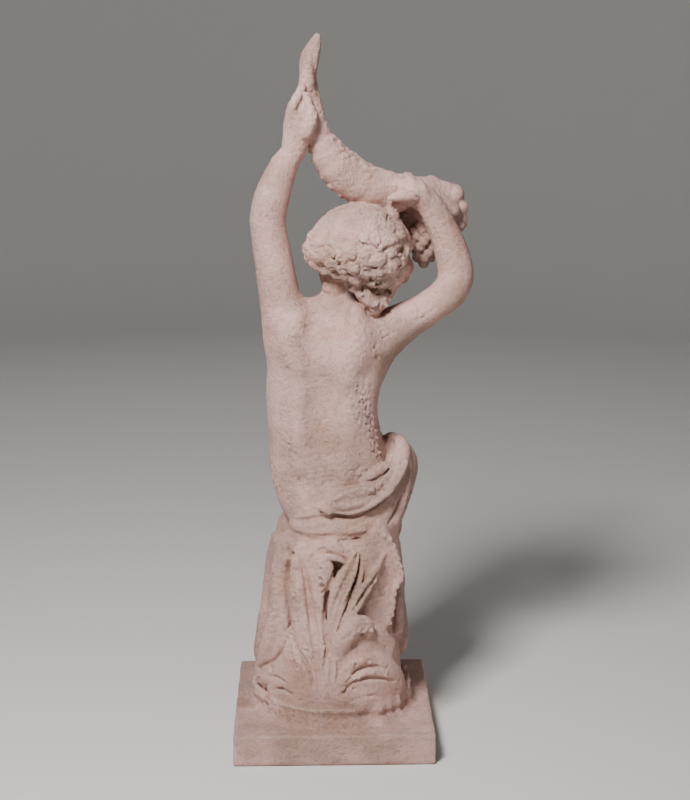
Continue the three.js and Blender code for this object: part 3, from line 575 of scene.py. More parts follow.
def model_leaves(clay, at):
    """Broad leaves on the left, lances fanned to the right, a curling leaf and lobes at the root."""
    for rows, blend, vein in LEAVES:
        leaf(clay, at, rows, blend, vein)
    for turn, share, wide, tall, count in ROUGH_PATCHES:
        rough_patch(clay, skin_on_stump(clay, at, turn, share), wide, tall, count, 2.1)
    for turn, share, wide, tall, deep in ((-3.6, 0.841, 3.2, 8, 2.2), (-19, 0.386, 9, 7, 3)):
        spot = at.on_stump(turn, share, clay.lift_at(at, turn, share) + 1)
        clay.cut(clay.lump(spot, (wide, deep, tall)), 3.0)
    for line, wide, deep in FURROWS:
        furrow(clay, at, line, wide, deep)


def model_loose_cloth(clay, at):
    """Cloth that hangs loose beside the leaves, and a sheet whose torn edge stands clear of the rest."""
    for rows, blend, vein in LOOSE_CLOTH:
        leaf(clay, at, rows, blend, vein)
    for in_from_edge, forward, wide, thick, blend in (
            (13, 15, 9, 12, 6.0), (10, 3, 12, 4, 6.0), (1, 1, 3.4, 2.6, 1.5)):
        rows = [[x + in_from_edge, y - forward, z, wide, thick] for x, y, z in TORN_EDGE]
        clay.join(clay.swept(rows, BACK, spacing=4.0), blend)
    for i, (x, y, z) in enumerate(curve_through(TORN_EDGE, 2.4)):
        size = 2.0 + 1.1 * math.sin(i * 2.4) * math.sin(i * 0.9)
        spot = x - 1 + 1.4 * math.sin(i * 1.7), y + 0.4, z
        clay.join(clay.lump(spot, (size, size, size * 0.9), axes_of(i)), 0.8)


def fall(clay, at, side, pleats):
    """Cloth that hangs beside the stump in upright pleats, given by place, top, foot, hem and half depth."""
    for y, top_x, low_x, hem, deep in pleats:
        rows = ((top_x - 6, y * 0.7, 0.98, 8, 7), (top_x * 0.8 + low_x * 0.2, y * 0.85, 0.8, 11, deep),
                (top_x * 0.45 + low_x * 0.55, y, 0.5, 11, deep), (low_x, y, hem + 0.14, 11, deep * 1.1),
                (low_x - 1, y, hem + 0.04, 11, deep))
        placed = [[side * x, back, at.stump_z(share), wide, 1.3 * depth]
                  for x, back, share, wide, depth in rows]
        clay.join(clay.swept(placed, BACK), 3.0)


def model_falls(clay, at):
    """The cloth on both sides of the stump: the left reaches the foot, the right ends above it."""
    fall(clay, at, 1, ((-4, 50, 63, 0.02, 11), (-23, 54, 73, 0.03, 11), (-41, 52, 72, 0.06, 11),
                       (-58, 44, 62, 0.1, 11)))
    fall(clay, at, -1, ((-12, 52, 64, 0.22, 10), (-30, 58, 70, 0.1, 11), (-48, 60, 72, 0.07, 11),
                        (-64, 54, 64, 0.14, 11)))


def model_seat(clay, at):
    """The top of the stump and the cloth spread over it, its hem drooping here and there."""
    wide, deep = at.stump_half(1.0)
    rows = [[-4, at.stump_centre_y, at.seat + rise, wide + grow, deep + grow]
            for rise, grow in ((-24, 2), (-14, 3), (-4, 0), (3, -6))]
    clay.join(clay.swept(rows, margin=10, cap=5.0,
                         swell=lambda angle, t: 1 + 0.02 * np.cos(13 * angle + 2 * t)), 1.5)
    for turn, share, length, size in ((70, 0.96, 0.12, 8), (27, 0.97, 0.09, 7), (-4, 0.98, 0.05, 8),
                                      (-44, 0.97, 0.09, 8), (86, 0.95, 0.12, 7)):
        leaf(clay, at, [[turn + 6, share, 0, size, 4], [turn, share - length, 1, size * 0.9, 4],
                        [turn - 4, share - 1.8 * length, -1, size * 0.5, 3]], blend=5.0)


# The figure

TORSO = (
    (-3, 4, -6, 40, 38), (-2, 2, 8, 44, 43), (0, 0, 34, 55.5, 46), (3, -3, 64, 60, 44), (7, -4, 92, 58, 42),
    (10, -4, 116, 56.5, 41), (10, -3, 140, 57.5, 41), (7, -1, 165, 59, 42), (1, 1, 190, 62, 41),
    (-3, 2, 210, 53, 35), (-8, 3, 226, 26, 24), (-7, 3, 240, 15, 18),
)
LEFT_ARM = (
    (30, 3, 168, 22, 24), (38, 3, 190, 24, 26), (46, 3, 216, 23.5, 26), (53, 3, 248, 20.5, 22),
    (58, 2, 280, 19, 20.5), (62.5, 2, 308, 18, 19.5), (63, 1, 324, 18, 19), (58, -2, 346, 17.5, 17.5),
    (47, -6, 373, 14, 14.5), (38.5, -8, 386, 11, 12.5), (36, -8, 396, 11.5, 11),
)
RIGHT_ARM = (
    (-26, 4, 196, 28, 28), (-52, 4, 205, 24, 26), (-76, 5, 219, 19.5, 22), (-98, 6, 232, 17, 20),
    (-117, 6, 247, 17.5, 19), (-125, 3, 264, 18, 18.5), (-121, -2, 286, 17, 18), (-113, -8, 308, 15, 16.5),
    (-103, -13, 328, 13.5, 14), (-95, -15, 339, 12, 12), (-88, -14, 344, 12, 11),
)
SPINE = ((1, 243), (5, 218), (9, 188), (12, 160), (12, 132), (13, 110), (16, 86), (18, 66))


def model_trunk(clay, at):
    """Hips, waist, chest and shoulders, with the back's groove and blades."""
    def form(rows, **options):
        return clay.swept(at.figure(rows), margin=18, **options)

    def swelling(centre, radii, blend=16.0):
        centre = at.spot(centre)
        clay.join(clay.lump(centre, np.array(radii) * at.unit, margin=20), blend)

    clay.join(form(TORSO), 3.0)
    clay.join(form([[40, 3, 214, 16, 18], [24, 3, 218, 13, 17], [8, 3, 224, 13, 17], [-6, 3, 230, 13, 17]],
                   facing=UP), 7.0)
    for side in (1, -1):
        swelling((side * 27 + 1, -22, 186), (25, 20, 21))
        swelling((side * 21 - 3, 25, 30), (21, 21, 25), 12.0)
    swelling((4, -20, 88), (44, 33, 46))
    swelling((43, 0, 200), (20, 24, 26))
    clay.join(form([[37, 24, 222, 15, 16], [40, 30, 200, 15, 15], [31, 33, 178, 12, 12]]), 10.0)
    clay.join(form([[-22, 25, 228, 12, 15], [-26, 30, 205, 14, 14], [-20, 33, 184, 12, 11],
                    [-12, 33, 168, 8, 9]]), 10.0)
    for x in (29, -16):
        clay.join(form([[x * 0.9, 29, 156, 11, 12], [x, 28, 128, 12, 13], [x * 0.95, 28, 96, 12, 13],
                        [x * 0.8, 30, 66, 10, 12]]), 14.0)
    clay.join(form([[-30, 19, 152, 14, 14], [-27, 18, 122, 16, 14], [-27, 18, 92, 16, 14],
                    [-33, 16, 64, 16, 14]]), 14.0)
    clay.join(form(LEFT_ARM), 12.0)
    clay.join(form(RIGHT_ARM), 16.0)
    neck = [[-4, 3, 226, 20, 20], [-4.5, 1, 240, 15.5, 17], [-5, 0, 253, 14.5, 17], [-15, -2, 272, 18, 21]]
    clay.join(form(neck), 6.0)
    clay.cut(clay.swept(along_back(clay, at, SPINE, 6.5, 14, 9), margin=18, spacing=8.0), 15.0)
    for x, z in ((33, 62), (3, 60)):
        clay.cut(clay.lump(at.spot((x, clay.behind(at, x, z) + 3.5, z)), (8, 5, 7), margin=14), 8.0)
    crease = along_back(clay, at, ((11, 250), (3, 246), (-6, 246.5), (-13, 249)), 0.6, 1.3, 1.6)
    clay.cut(clay.swept(crease), 3.0)
    navel = at.spot((5, -53, 84))
    clay.cut(clay.lump(navel, (3, 5, 3.4)), 3.0)


def model_casting_marks(clay, at):
    """What the mould left on the back: a lumpy joint line, short cracks and a few torn scabs."""
    def scab(x, z, wide, tall, count, size):
        rough_patch(clay, skin_behind(clay, at, x, z, 0.3), wide, tall, count, size)

    for i in range(9):
        scab(-31.5 - 1.5 * i + 1.2 * math.sin(i * 2), 146 - 7.6 * i, 4.4, 5.0, 10, 1.55)
    for x, z, wide, tall, count in (
            (43, 62, 8, 4, 12), (45, 44, 4, 9, 12), (24, 66, 9, 3, 11), (47, 98, 5, 6, 11), (8, 62, 7, 3, 9),
            (-49, 212, 7, 9, 15), (-57, 221, 8, 3, 11), (-83, 231, 9, 5, 13), (-44, 192, 4, 6, 10),
            (-28, 70, 8, 3, 10), (-105, 250, 6, 7, 9)):
        scab(x, z, wide, tall, count, 1.9)
    for line in (
            ((48, 86), (43, 91), (35, 86), (30, 82)), ((28, 78), (22, 72), (14, 71)),
            ((-15, 71), (-24, 73), (-31, 76)), ((52, 112), (47, 108), (44, 104)),
            ((10, 84), (3, 87), (-5, 83)),
            ((-41, 196), (-47, 205), (-50, 214)), ((-52, 206), (-60, 211), (-70, 214)),
            ((-84, 222), (-94, 228), (-104, 236))):
        clay.cut(clay.swept(along_back(clay, at, line, 0.4, 0.9, 1.5), spacing=3.0), 0.8)


def model_legs(clay, at):
    """Thighs, bare shins and feet with toes. The right knee is the higher one, and its foot is on a stone."""
    for hip, knee, ankle, toes, lean in (
            ((14, -14, 22), (21, -64, 22), (25, -56, 0.09), (30, -82, 0.035), 1),
            ((-30, -8, 32), (-56, -64, 52), (-42, -58, 0.19), (-45, -84, 0.145), -1)):
        hip, knee = at.spot(hip), at.spot(knee)
        ankle, toes = (np.array((x, y, at.stump_z(share))) for x, y, share in (ankle, toes))
        middle = (hip + knee) / 2 + (0, 0, 4)
        clay.join(clay.swept([[*hip, 24, 27], [*middle, 25, 29], [*knee, 23, 23]], UP, margin=14), 10.0)

        def shin(share, wide, thick, push=0.0):
            return [*(knee + (ankle - knee) * share + (0, push, 0)), wide, thick]

        clay.join(clay.swept([shin(0.02, 22, 22), shin(0.3, 20.5, 22, 2), shin(0.65, 17, 18, 1),
                              shin(0.92, 12.5, 13), shin(1.05, 12, 12)], margin=12), 8.0)
        heel = ankle + (ankle - toes) * 0.42 - (0, 0, 6)
        ball = ankle + (toes - ankle) * 0.72
        clay.join(clay.swept([[*heel, 11, 9], [*(ankle - (0, 0, 4)), 13, 12], [*ball, 15, 8]], UP), 6.0)
        for toe in range(5):
            spread = (toe - 2) * 5.6 * lean
            start = ball + (spread * 0.8, 2, 0)
            tip = toes + (spread, -3 + abs(toe - 1) * 2.4, -1)
            size = 4.8 if toe == 0 else 3.7 - 0.15 * toe
            clay.join(clay.swept([[*start, size, size], [*((start + tip) / 2 + (0, 0, 2)), size, size],
                                  [*tip, size, size * 0.9]], UP), 0.9)
    # What fills the room under the thighs
    for x, y, z, wide in ((-56, -22, -6, 17), (-57, -34, 5, 15), (44, -22, -3, 13)):
        clay.join(clay.lump(np.array((x, y, at.seat + z)), (wide, 1.5 * wide, 1.2 * wide), margin=14), 8.0)
    stone = [[-40, -50, at.foot_top + 7, 21, 15], [-43, -80, at.foot_top + 6.5, 20, 13]]
    clay.join(clay.swept(stone, UP, swell=lambda angle, t: 1 + 0.05 * np.cos(5 * angle + 9 * t)), 3.0)


def hand(clay, at, palm, digits, blend=1.5):
    """A palm and its fingers, each through its joints."""
    clay.join(clay.swept(at.figure(palm)), 5.0)
    for joints in digits:
        clay.join(clay.swept(at.figure(joints), spacing=3.0), blend)


def model_hands(clay, at):
    """The left hand flat on the horn's tail, its first finger pointing up, the right one over the throat."""
    palm = [[36.5, -6, 390, 11, 11], [34, -4, 402, 13.5, 10], [32, -3, 414, 15, 9.5], [30.5, -3, 424, 12, 8],
            [29.5, -4, 436, 7.5, 7]]
    hand(clay, at, palm, [
        [[39, -3, 414, 7, 8], [39.5, -1, 424, 5.6, 7], [36, 1, 435, 4.8, 6], [31.5, 1, 444, 4.4, 5.2],
         [28, 0, 450, 4, 4.4]],
        [[25, 2, 406, 7, 7], [20.5, 5, 416, 6.6, 6.6], [19.5, 5, 425, 6, 6], [22, 3, 434, 4.4, 5],
         [24.5, 1, 442, 3.6, 4.4]],
        [[36, -14, 424, 5.4, 5.4], [30, -23, 429, 5, 5], [21, -25, 431, 4.4, 4.4], [15, -22, 430, 3.6, 3.6]],
        [[35, -15, 413, 5.4, 5.4], [28, -25, 418, 5, 5], [19, -28, 420, 4.4, 4.4], [12, -25, 419, 3.6, 3.6]],
        [[33, -15, 402, 5, 5], [26, -27, 407, 4.6, 4.6], [17, -31, 410, 4.2, 4.2], [9, -29, 410, 3.6, 3.6]],
    ])
    slit = along_back(clay, at, ((28, 438), (30, 431), (29.5, 422)), 0.4, 2.0, 1.3)
    clay.cut(clay.swept(slit, spacing=3.0), 1.2)
    fingers = []
    for finger in range(3):
        x, z = -68 - finger * 9.0, 351.5 - abs(finger - 1) * 4.5
        fingers.append([[x - 9, -5, z - 8, 6, 6], [x - 4, -3, z + 3, 6, 6], [x, -12, z + 9, 5.4, 5.4],
                        [x + 3, -30, z + 4, 4.6, 4.6], [x + 4, -42, z - 8, 4, 4]])
    pointing = [[-82, 0, 346, 8, 7], [-72, 3, 344.5, 6.6, 6], [-64, 4, 343, 4.8, 5],
                [-57.5, 3, 341.5, 2.2, 3]]
    thumb = [[-92, -12, 339, 6.5, 6.5], [-82, -16, 338, 5.4, 5.4], [-74, -19, 338, 4.8, 4.8],
             [-68, -21, 339, 4, 4]]
    palm = [[-96, -13, 336, 12, 11], [-86, -9, 344, 13, 10], [-76, -7, 347, 11, 9]]
    hand(clay, at, palm, [thumb, pointing, *fingers], blend=2.6)
    groove = along_back(clay, at, ((-72, 352), (-80, 347), (-86, 342)), 0.6, 1.0, 2.2)
    clay.cut(clay.swept(groove, spacing=3.0), 1.6)


# The head

def model_face(clay, at):
    """A calm child's face on plain proportions: forehead, cheeks, lids, nose, lips, chin and ears."""
    def part(place, radii, blend):
        centre = at.spot(at.on_head(*place))
        clay.join(clay.lump(centre, np.array(radii) * at.unit, at.head_axes, margin=10), blend)

    def hollow(place, radii, blend):
        centre = at.spot(at.on_head(*place))
        clay.cut(clay.lump(centre, np.array(radii) * at.unit, at.head_axes, margin=6), blend)

    part((0, -12, -12), (37, 36, 39), 3.0)
    part((0, -25, 10), (31, 20, 22), 8.0)
    part((0, -35, -39), (11, 10, 9), 8.0)
    for side in (1, -1):
        part((side * 17, -30, -18), (14, 12, 13), 8.0)
        hollow((side * 14.5, -49.5, -1), (8.5, 7.5, 6), 4.0)
        part((side * 14.5, -39.8, -2), (7, 6.6, 5.2), 1.5)
        part((side * 14.5, -43.6, 6.5), (9.5, 4.4, 2.6), 3.0)
        hollow((side * 14.5, -46.2, -3.4), (6.4, 1.3, 0.7), 0.8)
        part((side * 38, -3, -12), (5, 9, 12), 3.0)
        hollow((side * 43, -4, -11), (3, 4.5, 6.5), 2.0)
        part((side * 4.4, -47.5, -15), (3.4, 4, 3.1), 1.6)
    part((0, -46.5, -6), (3.4, 6, 11), 3.5)
    part((0, -50.5, -13.5), (4.6, 5.6, 4.4), 2.5)
    part((0, -45, -25.2), (8, 4.6, 2.6), 2.0)
    part((0, -44.6, -30.2), (6.6, 4.6, 2.8), 2.0)
    hollow((0, -49.8, -27.6), (8.6, 3.2, 0.9), 1.0)


HAIR_HALF = np.array((48.5, 48.5, 42.5))
HAIR_MIDDLE = np.array((0.0, 1.0, 7.0))
LEDGE_TURN = (-3.3, -1.57, -0.6, 0.0, 0.46, 0.78, 1.05, 1.31, 1.5, 1.74, 2.02, 2.35, 2.7, 3.3)
LEDGE_RISE = (0.35, 0.5, 0.2, 0.0, -0.05, 0.04, 0.15, 0.21, 0.3, 0.31, 0.36, 0.5, 0.4, 0.35)
CROWN_TURN = (-3.3, -0.4, 0.2, 0.9, 1.3, 3.3)
CROWN_LIFT = (5.2, 5.2, 3.0, 3.0, 5.0, 5.2)
NAPE_X = (-60, -46, -34, -22, -14, -6, 14, 40)
NAPE_Z = (231, 228, 230, 244, 255, 262, 268, 274)

# Turn about the head, rise and half size of the curls on the nape, of the tousled locks and of the deep holes
NAPE_CURLS = (
    (0.2, -0.55, 8.1), (0.45, -0.73, 7.2), (0.7, -0.33, 8.1), (0.92, -0.1, 8.1), (1.15, -0.15, 8.5),
    (0.99, -0.38, 7.2), (0.9, -0.68, 5.8), (1.24, -0.39, 7.2), (1.31, 0.01, 9), (1.51, 0, 9.4),
    (1.52, -0.31, 8.1), (1.62, 0.17, 8.1), (1.32, -0.61, 5.8), (1.61, -0.61, 6.3), (1.67, -0.08, 8.1),
    (1.78, -0.35, 7.2), (1.8, 0.26, 7.2), (1.89, 0.05, 9.4), (2.07, 0.22, 9.4), (2.21, -0.01, 10.3),
    (2, -0.23, 8.1), (2, -0.51, 7.2), (2.26, -0.43, 8.1), (2.38, 0.16, 8.1), (2.58, -0.07, 7.6),
    (2.46, -0.24, 7.2), (2.56, 0.36, 6.3), (2.01, -0.84, 5.8), (2.46, -0.78, 7.2), (2.63, -0.44, 5.8),
)
LOCKS = (
    (1.71, 0.44, 12), (2.01, 0.51, 11.5), (2.35, 0.76, 10.5), (1.91, 0.8, 13), (1.59, 0.69, 11.5),
    (1.67, 1.08, 11.5), (-3.06, 1.24, 10.5), (1.5, 0.41, 8.5),
)
HAIR_HOLES = (
    (0.36, -0.94, 1.2), (1.13, -0.65, 1.2), (1.53, -0.88, 1.4), (1.89, -1.12, 1.3), (1.87, -0.43, 1.3),
    (2.1, -0.49, 1.2), (1.87, -0.72, 1.2), (2.59, -0.6, 1.4), (2.83, -0.44, 1.2), (1.19, -0.31, 0.9),
    (1.86, -0.14, 1), (1.07, -0.23, 0.9), (2.33, 0.03, 1), (3.05, -0.7, 1.4), (3.3, -0.4, 1.3),
    (0.2, -0.35, 1.2), (4, 0.33, 1.3), (4.4, 0.6, 1.3), (4.9, 0.35, 1.3), (5.3, 0.6, 1.3),
    (5.7, 0.3, 1.3), (4.7, 0.85, 1.2), (-0.3, -0.3, 1.3),
)

# Grooves between the locks behind, as points in the figure's grid, half width and depth
STRANDS = (
    (((3.8, 306.5), (-9.5, 304.1), (-23.7, 303.3), (-37.4, 299.6), (-51.2, 297.2), (-61.4, 298.7),
      (-70, 304.6)), 2.4, 1.3),
    (((-36.4, 336.3), (-39.3, 329.5), (-37.8, 321.6), (-40.9, 313.8)), 0.9, 1.5),
    (((-43.2, 338.2), (-47.2, 330.4), (-45.2, 322.6), (-49.6, 313.8), (-47.6, 305.5)), 0.9, 1.6),
    (((-51, 338.2), (-56, 330.4), (-54.6, 321.6), (-60, 312.7), (-58, 304.9)), 0.9, 1.6),
    (((-60.8, 334.3), (-65.2, 326.4), (-63.5, 318.6), (-67.8, 310.7)), 0.9, 1.6),
    (((-29.5, 331.5), (-31.9, 322.6), (-29.2, 314.8), (-32.3, 307.5)), 0.9, 1.4),
    (((-20.2, 327.2), (-23.7, 319.7), (-21.7, 311.9)), 0.8, 1.1),
    (((-7.2, 319.8), (-10.5, 313.9), (-9.3, 307.6)), 0.8, 1),
    (((1.8, 319.5), (-1.3, 313), (-0.5, 307.7)), 0.8, 1),
    (((-10.4, 335), (-17.8, 333.1), (-24.8, 336.2)), 0.8, 1.1),
    (((5.4, 300.2), (0.3, 296.3), (1.9, 290)), 1, 2),
    (((-5.2, 297.8), (-10.7, 292.3), (-6, 286)), 1.1, 2.2),
    (((-15.8, 298.2), (-24.1, 294.6), (-22.9, 286.3), (-15.8, 284)), 1.1, 2.4),
    (((-26.8, 294.6), (-35.1, 295.3), (-38.6, 289), (-33.5, 282.3)), 1.1, 2.4),
    (((-43.3, 292.1), (-51.6, 293.3), (-55.2, 286.1), (-49.3, 279.8)), 1.1, 2.4),
    (((-57.1, 286.1), (-65, 288.1), (-69.4, 281.1), (-63.1, 274.2)), 1.1, 2.4),
    (((-17.8, 280.4), (-24.8, 281.3), (-27.6, 274.4), (-21.7, 270)), 1.1, 2.4),
    (((-35.5, 276.3), (-42.6, 277.5), (-44.6, 269.9)), 1.1, 2.2),
    (((19.6, 292.4), (14.5, 289.2), (16.5, 282.1)), 1, 2),
    (((25.1, 292.4), (22.4, 284.5), (24.4, 278.2)), 1, 1.8),
    (((-68.9, 296), (-74.4, 292), (-73.3, 284.1)), 1, 2),
    (((-49.3, 268.3), (-57.2, 269.3), (-61.2, 263.1)), 1.1, 2.2),
    (((-25.6, 264.5), (-32.5, 265.6), (-35.5, 259.6)), 1.1, 2.2),
    (((7.8, 284.5), (2.7, 280.5), (-4.4, 280.8)), 1, 2),
    (((-5.9, 274.5), (-11.4, 276.4), (-15, 272.1)), 1, 2),
    (((-37.5, 252.4), (-44.6, 254.4), (-47.8, 248.4)), 1.1, 2),
)


def curl_list():
    """Turn about the head, rise, half size, height, stretch and winding of each curl."""
    curls = [(turn, rise, size * 1.12, 2.2 + 0.66 * size, 1.0 + 0.22 * (i % 3), 1 if i % 2 else -1)
             for i, (turn, rise, size) in enumerate(NAPE_CURLS)]
    curls += [(turn, rise, size, 10.2 + 1.0 * math.sin(i * 2), 1.4, 1 if i % 2 else -1)
              for i, (turn, rise, size) in enumerate(LOCKS)]
    rows = (
        (-0.05, 2.75, 3.5, 3, 10.0, 6.0), (-0.36, 2.6, 3.5, 4, 9.5, 6.5), (-0.66, 2.75, 3.5, 3, 9.0, 6.5),
        (-0.36, -0.35, 0.8, 4, 9.5, 6.0), (-0.66, -0.35, 0.8, 4, 9.0, 6.0),
        (-0.04, -0.3, 0.9, 4, 9.0, 6.0), (-0.93, 0.9, 3.0, 7, 8.0, 5.5),
        (0.4, 3.75, 5.65, 7, 10.0, 9.0), (0.72, 3.95, 5.45, 5, 9.5, 7.5), (1.04, 4.2, 5.2, 3, 8.5, 6.0),
    )
    for row, (rise, first, last, count, size, high) in enumerate(rows):
        for i in range(count):
            turn = first + (last - first) * i / (count - 1) + 0.05 * math.sin(5 * i + row)
            place = turn, rise + 0.07 * math.sin(3 * i + 2 * row)
            half = size * (0.9 + 0.2 * ((i * 7 + row) % 3) / 2)
            height = high * (0.8 + 0.2 * ((i * 5 + row) % 3))
            curls.append((*place, half, height, 1.0 + 0.3 * ((i + row) % 3), 1 if (i + row) % 2 else -1))
    return curls


def direction(turn, rise):
    """The unit vector at a turn about the head and a rise above level."""
    return math.cos(rise) * math.cos(turn), math.cos(rise) * math.sin(turn), math.sin(rise)


def hair_relief(way):
    """Height of the hair over its plain egg, for unit directions from its middle.

    The crown is combed and ends in a ledge. Curls wind like snails below it and over the brow.
    """
    turn = np.arctan2(way[1], way[0])
    rise = np.arcsin(np.clip(way[2], -1, 1))
    edge = np.interp(turn, LEDGE_TURN, LEDGE_RISE) + 0.03 * np.sin(9 * turn)
    crown = np.interp(turn, CROWN_TURN, CROWN_LIFT) * np.clip((rise - edge) / 0.06 + 0.5, 0, 1)
    comb = np.sin(13 * turn + 3.4 * np.sin(3.1 * rise + 1.3 * turn) + 2.2 * np.sin(7 * rise + 3 * turn))
    crown = crown - 1.0 * np.maximum(comb, 0) ** 2 * np.sqrt(np.cos(rise)) * (rise > edge)
    scratch = np.sin(34 * way[0] + 6 * np.sin(9 * way[2] + 4 * way[1]))
    scratch = scratch * np.sin(29 * way[2] + 5 * np.sin(11 * way[0]))
    relief = crown
    head_radius, curl_radius, turn_of_snail = 49, 46, 4.8
    bulge = 6.5 * np.exp(-((turn - 0.3) ** 2 + (rise + 0.3) ** 2) / 0.16)
    for at_turn, at_rise, size, high, stretch, winding in curl_list():
        centre = direction(at_turn, at_rise)
        toward = way[0] * centre[0] + way[1] * centre[1] + way[2] * centre[2]
        near = np.flatnonzero(toward > 1 - (size * stretch / curl_radius) ** 2 / 1.8)
        if not len(near):
            continue
        east = (-math.sin(at_turn), math.cos(at_turn), 0.0)
        north = np.cross(centre, east)
        across, up = (head_radius * sum(way[i][near] * axis[i] for i in range(3)) for axis in (east, north))
        slant = at_turn * 2.3 + at_rise * 3
        along = (across * math.cos(slant) + up * math.sin(slant)) / stretch
        aside = up * math.cos(slant) - across * math.sin(slant)
        out = np.sqrt(along ** 2 + aside ** 2)
        dome = high * np.sqrt(np.clip(1 - (out / size) ** 2, 0, 1))
        around = np.arctan2(aside, along)
        bent = out + 1.1 * np.sin(2 * around + at_rise * 9) + 0.8 * np.sin(5 * around + at_turn * 7)
        wound = np.cos(winding * around + bent * 2 * math.pi / turn_of_snail + at_turn * 5)
        dome = dome - 1.5 * np.clip(wound, 0, 1) ** 1.5 * np.clip(out / 2.5, 0, 1) * (out < size)
        relief[near] = np.maximum(relief[near], dome)
    return relief + bulge + 0.55 * scratch


def model_hair(clay, at):
    """The mop of hair: an egg raised by its relief, with deep holes between the lower curls."""
    middle = at.spot(at.on_head(*HAIR_MIDDLE))
    reach = np.array((66, 66, 66)) * at.unit
    first, last = clay.span(middle - reach, middle + reach)
    offset = [axis - start for axis, start in zip(clay.axes(first, last), middle)]
    local = [sum(o * float(d) for o, d in zip(offset, axis)) for axis in at.head_axes]
    distance = rounded_distance([(line, half * at.unit) for line, half in zip(local, HAIR_HALF)])
    distance = distance.astype(np.float32)
    shell = np.abs(distance) < 14
    way = np.array([(line / half)[shell] for line, half in zip(local, HAIR_HALF)])
    way = way / np.sqrt((way ** 2).sum(0))
    distance[shell] -= hair_relief(way).astype(np.float32) * at.unit
    # The face stays bare below the brow, and the neck below the nape's edge
    brow = local[2] - 17 * at.unit - 2.4 * np.sin(local[0] * 0.42 + 1) - 1.4 * np.sin(local[0] * 0.9)
    face = np.maximum(local[1] + 20 * at.unit + 2 * np.sin(local[2] * 0.35), brow)
    x, y, z = clay.axes(first, last)
    nape = at.seat + at.unit * np.interp(x / at.unit, NAPE_X, NAPE_Z)
    nape = nape + 1.5 * np.sin(x * 0.5) + 0.12 * y
    distance = np.maximum(np.maximum(distance, -face), (nape - z) * 0.8)
    clay.join((first, distance.astype(np.float32)), 1.0)
    for x, y, z, size in ((-37, 23, 243, 10), (-48, 16, 241, 10.5), (-42, 19, 234, 9), (-55, 9, 249, 9),
                          (-31, 26, 249, 8)):
        clay.join(clay.lump(at.spot((x, y, z)), (size, size, size * 0.9), axes_of(x)), 3.0)
        rough_patch(clay, skin_behind(clay, at, x, z), size * 0.9, size * 0.8, 8, 2.2)
    for line, wide, deep in STRANDS:
        rows = along_back(clay, at, line, 0.5, wide, deep, ends=0.5)
        clay.cut(clay.swept(rows, lambda point: point - middle, spacing=3.0, margin=4), 0.9)
    for turn, rise, size in HAIR_HOLES:
        rows = []
        for i, taper in enumerate((0.5, 0.9, 1, 0.8, 0.4)):
            bend = (turn * 7 + rise * 5) + i * 0.45
            aside, up = 0.045 * (i - 2) * math.cos(bend), 0.045 * (i - 2) * math.sin(bend)
            way = np.array(direction(turn + aside, rise + up))
            spot = at.spot(at.on_head(*(HAIR_MIDDLE + way * (HAIR_HALF + 4))))
            rows.append([*spot, size * taper, 4.0])
        clay.cut(clay.swept(rows, lambda point: point - middle, spacing=2.5, margin=4), 1.0)


# The horn of plenty

HORN = (
    (13, -8, 499, 3), (17, -9, 488, 6.5), (21, -10, 476, 9.5), (22.5, -11, 462, 10), (22, -12, 446, 10),
    (18.5, -13, 428, 10), (14, -15, 410, 11.5), (8, -17, 394, 14), (-1, -19, 379, 17.5), (-14, -21, 365, 20),
    (-31, -22, 354, 21), (-49, -23, 348, 20.5), (-64, -26, 347.5, 17), (-78, -29, 347, 14),
    (-89, -33, 342, 18.5),
    (-99, -39, 334, 24), (-108, -45, 327, 28.5),
)


def horn_swell(angle, t):
    """Lobes at the mouth, shallow rings along the body and a twist in the tail."""
    mouth = np.clip((t - 0.8) / 0.2, 0, 1)
    tail = np.clip((0.34 - t) / 0.1, 0, 1)
    body = np.clip((t - 0.3) / 0.1, 0, 1) * (1 - mouth)
    return (1 + 0.12 * mouth * np.cos(6 * angle + 1) + 0.16 * tail * np.cos(2 * angle + 20 * t)
            + 0.035 * body * np.sin(t * 120 + 0.8 * np.sin(3 * angle)))


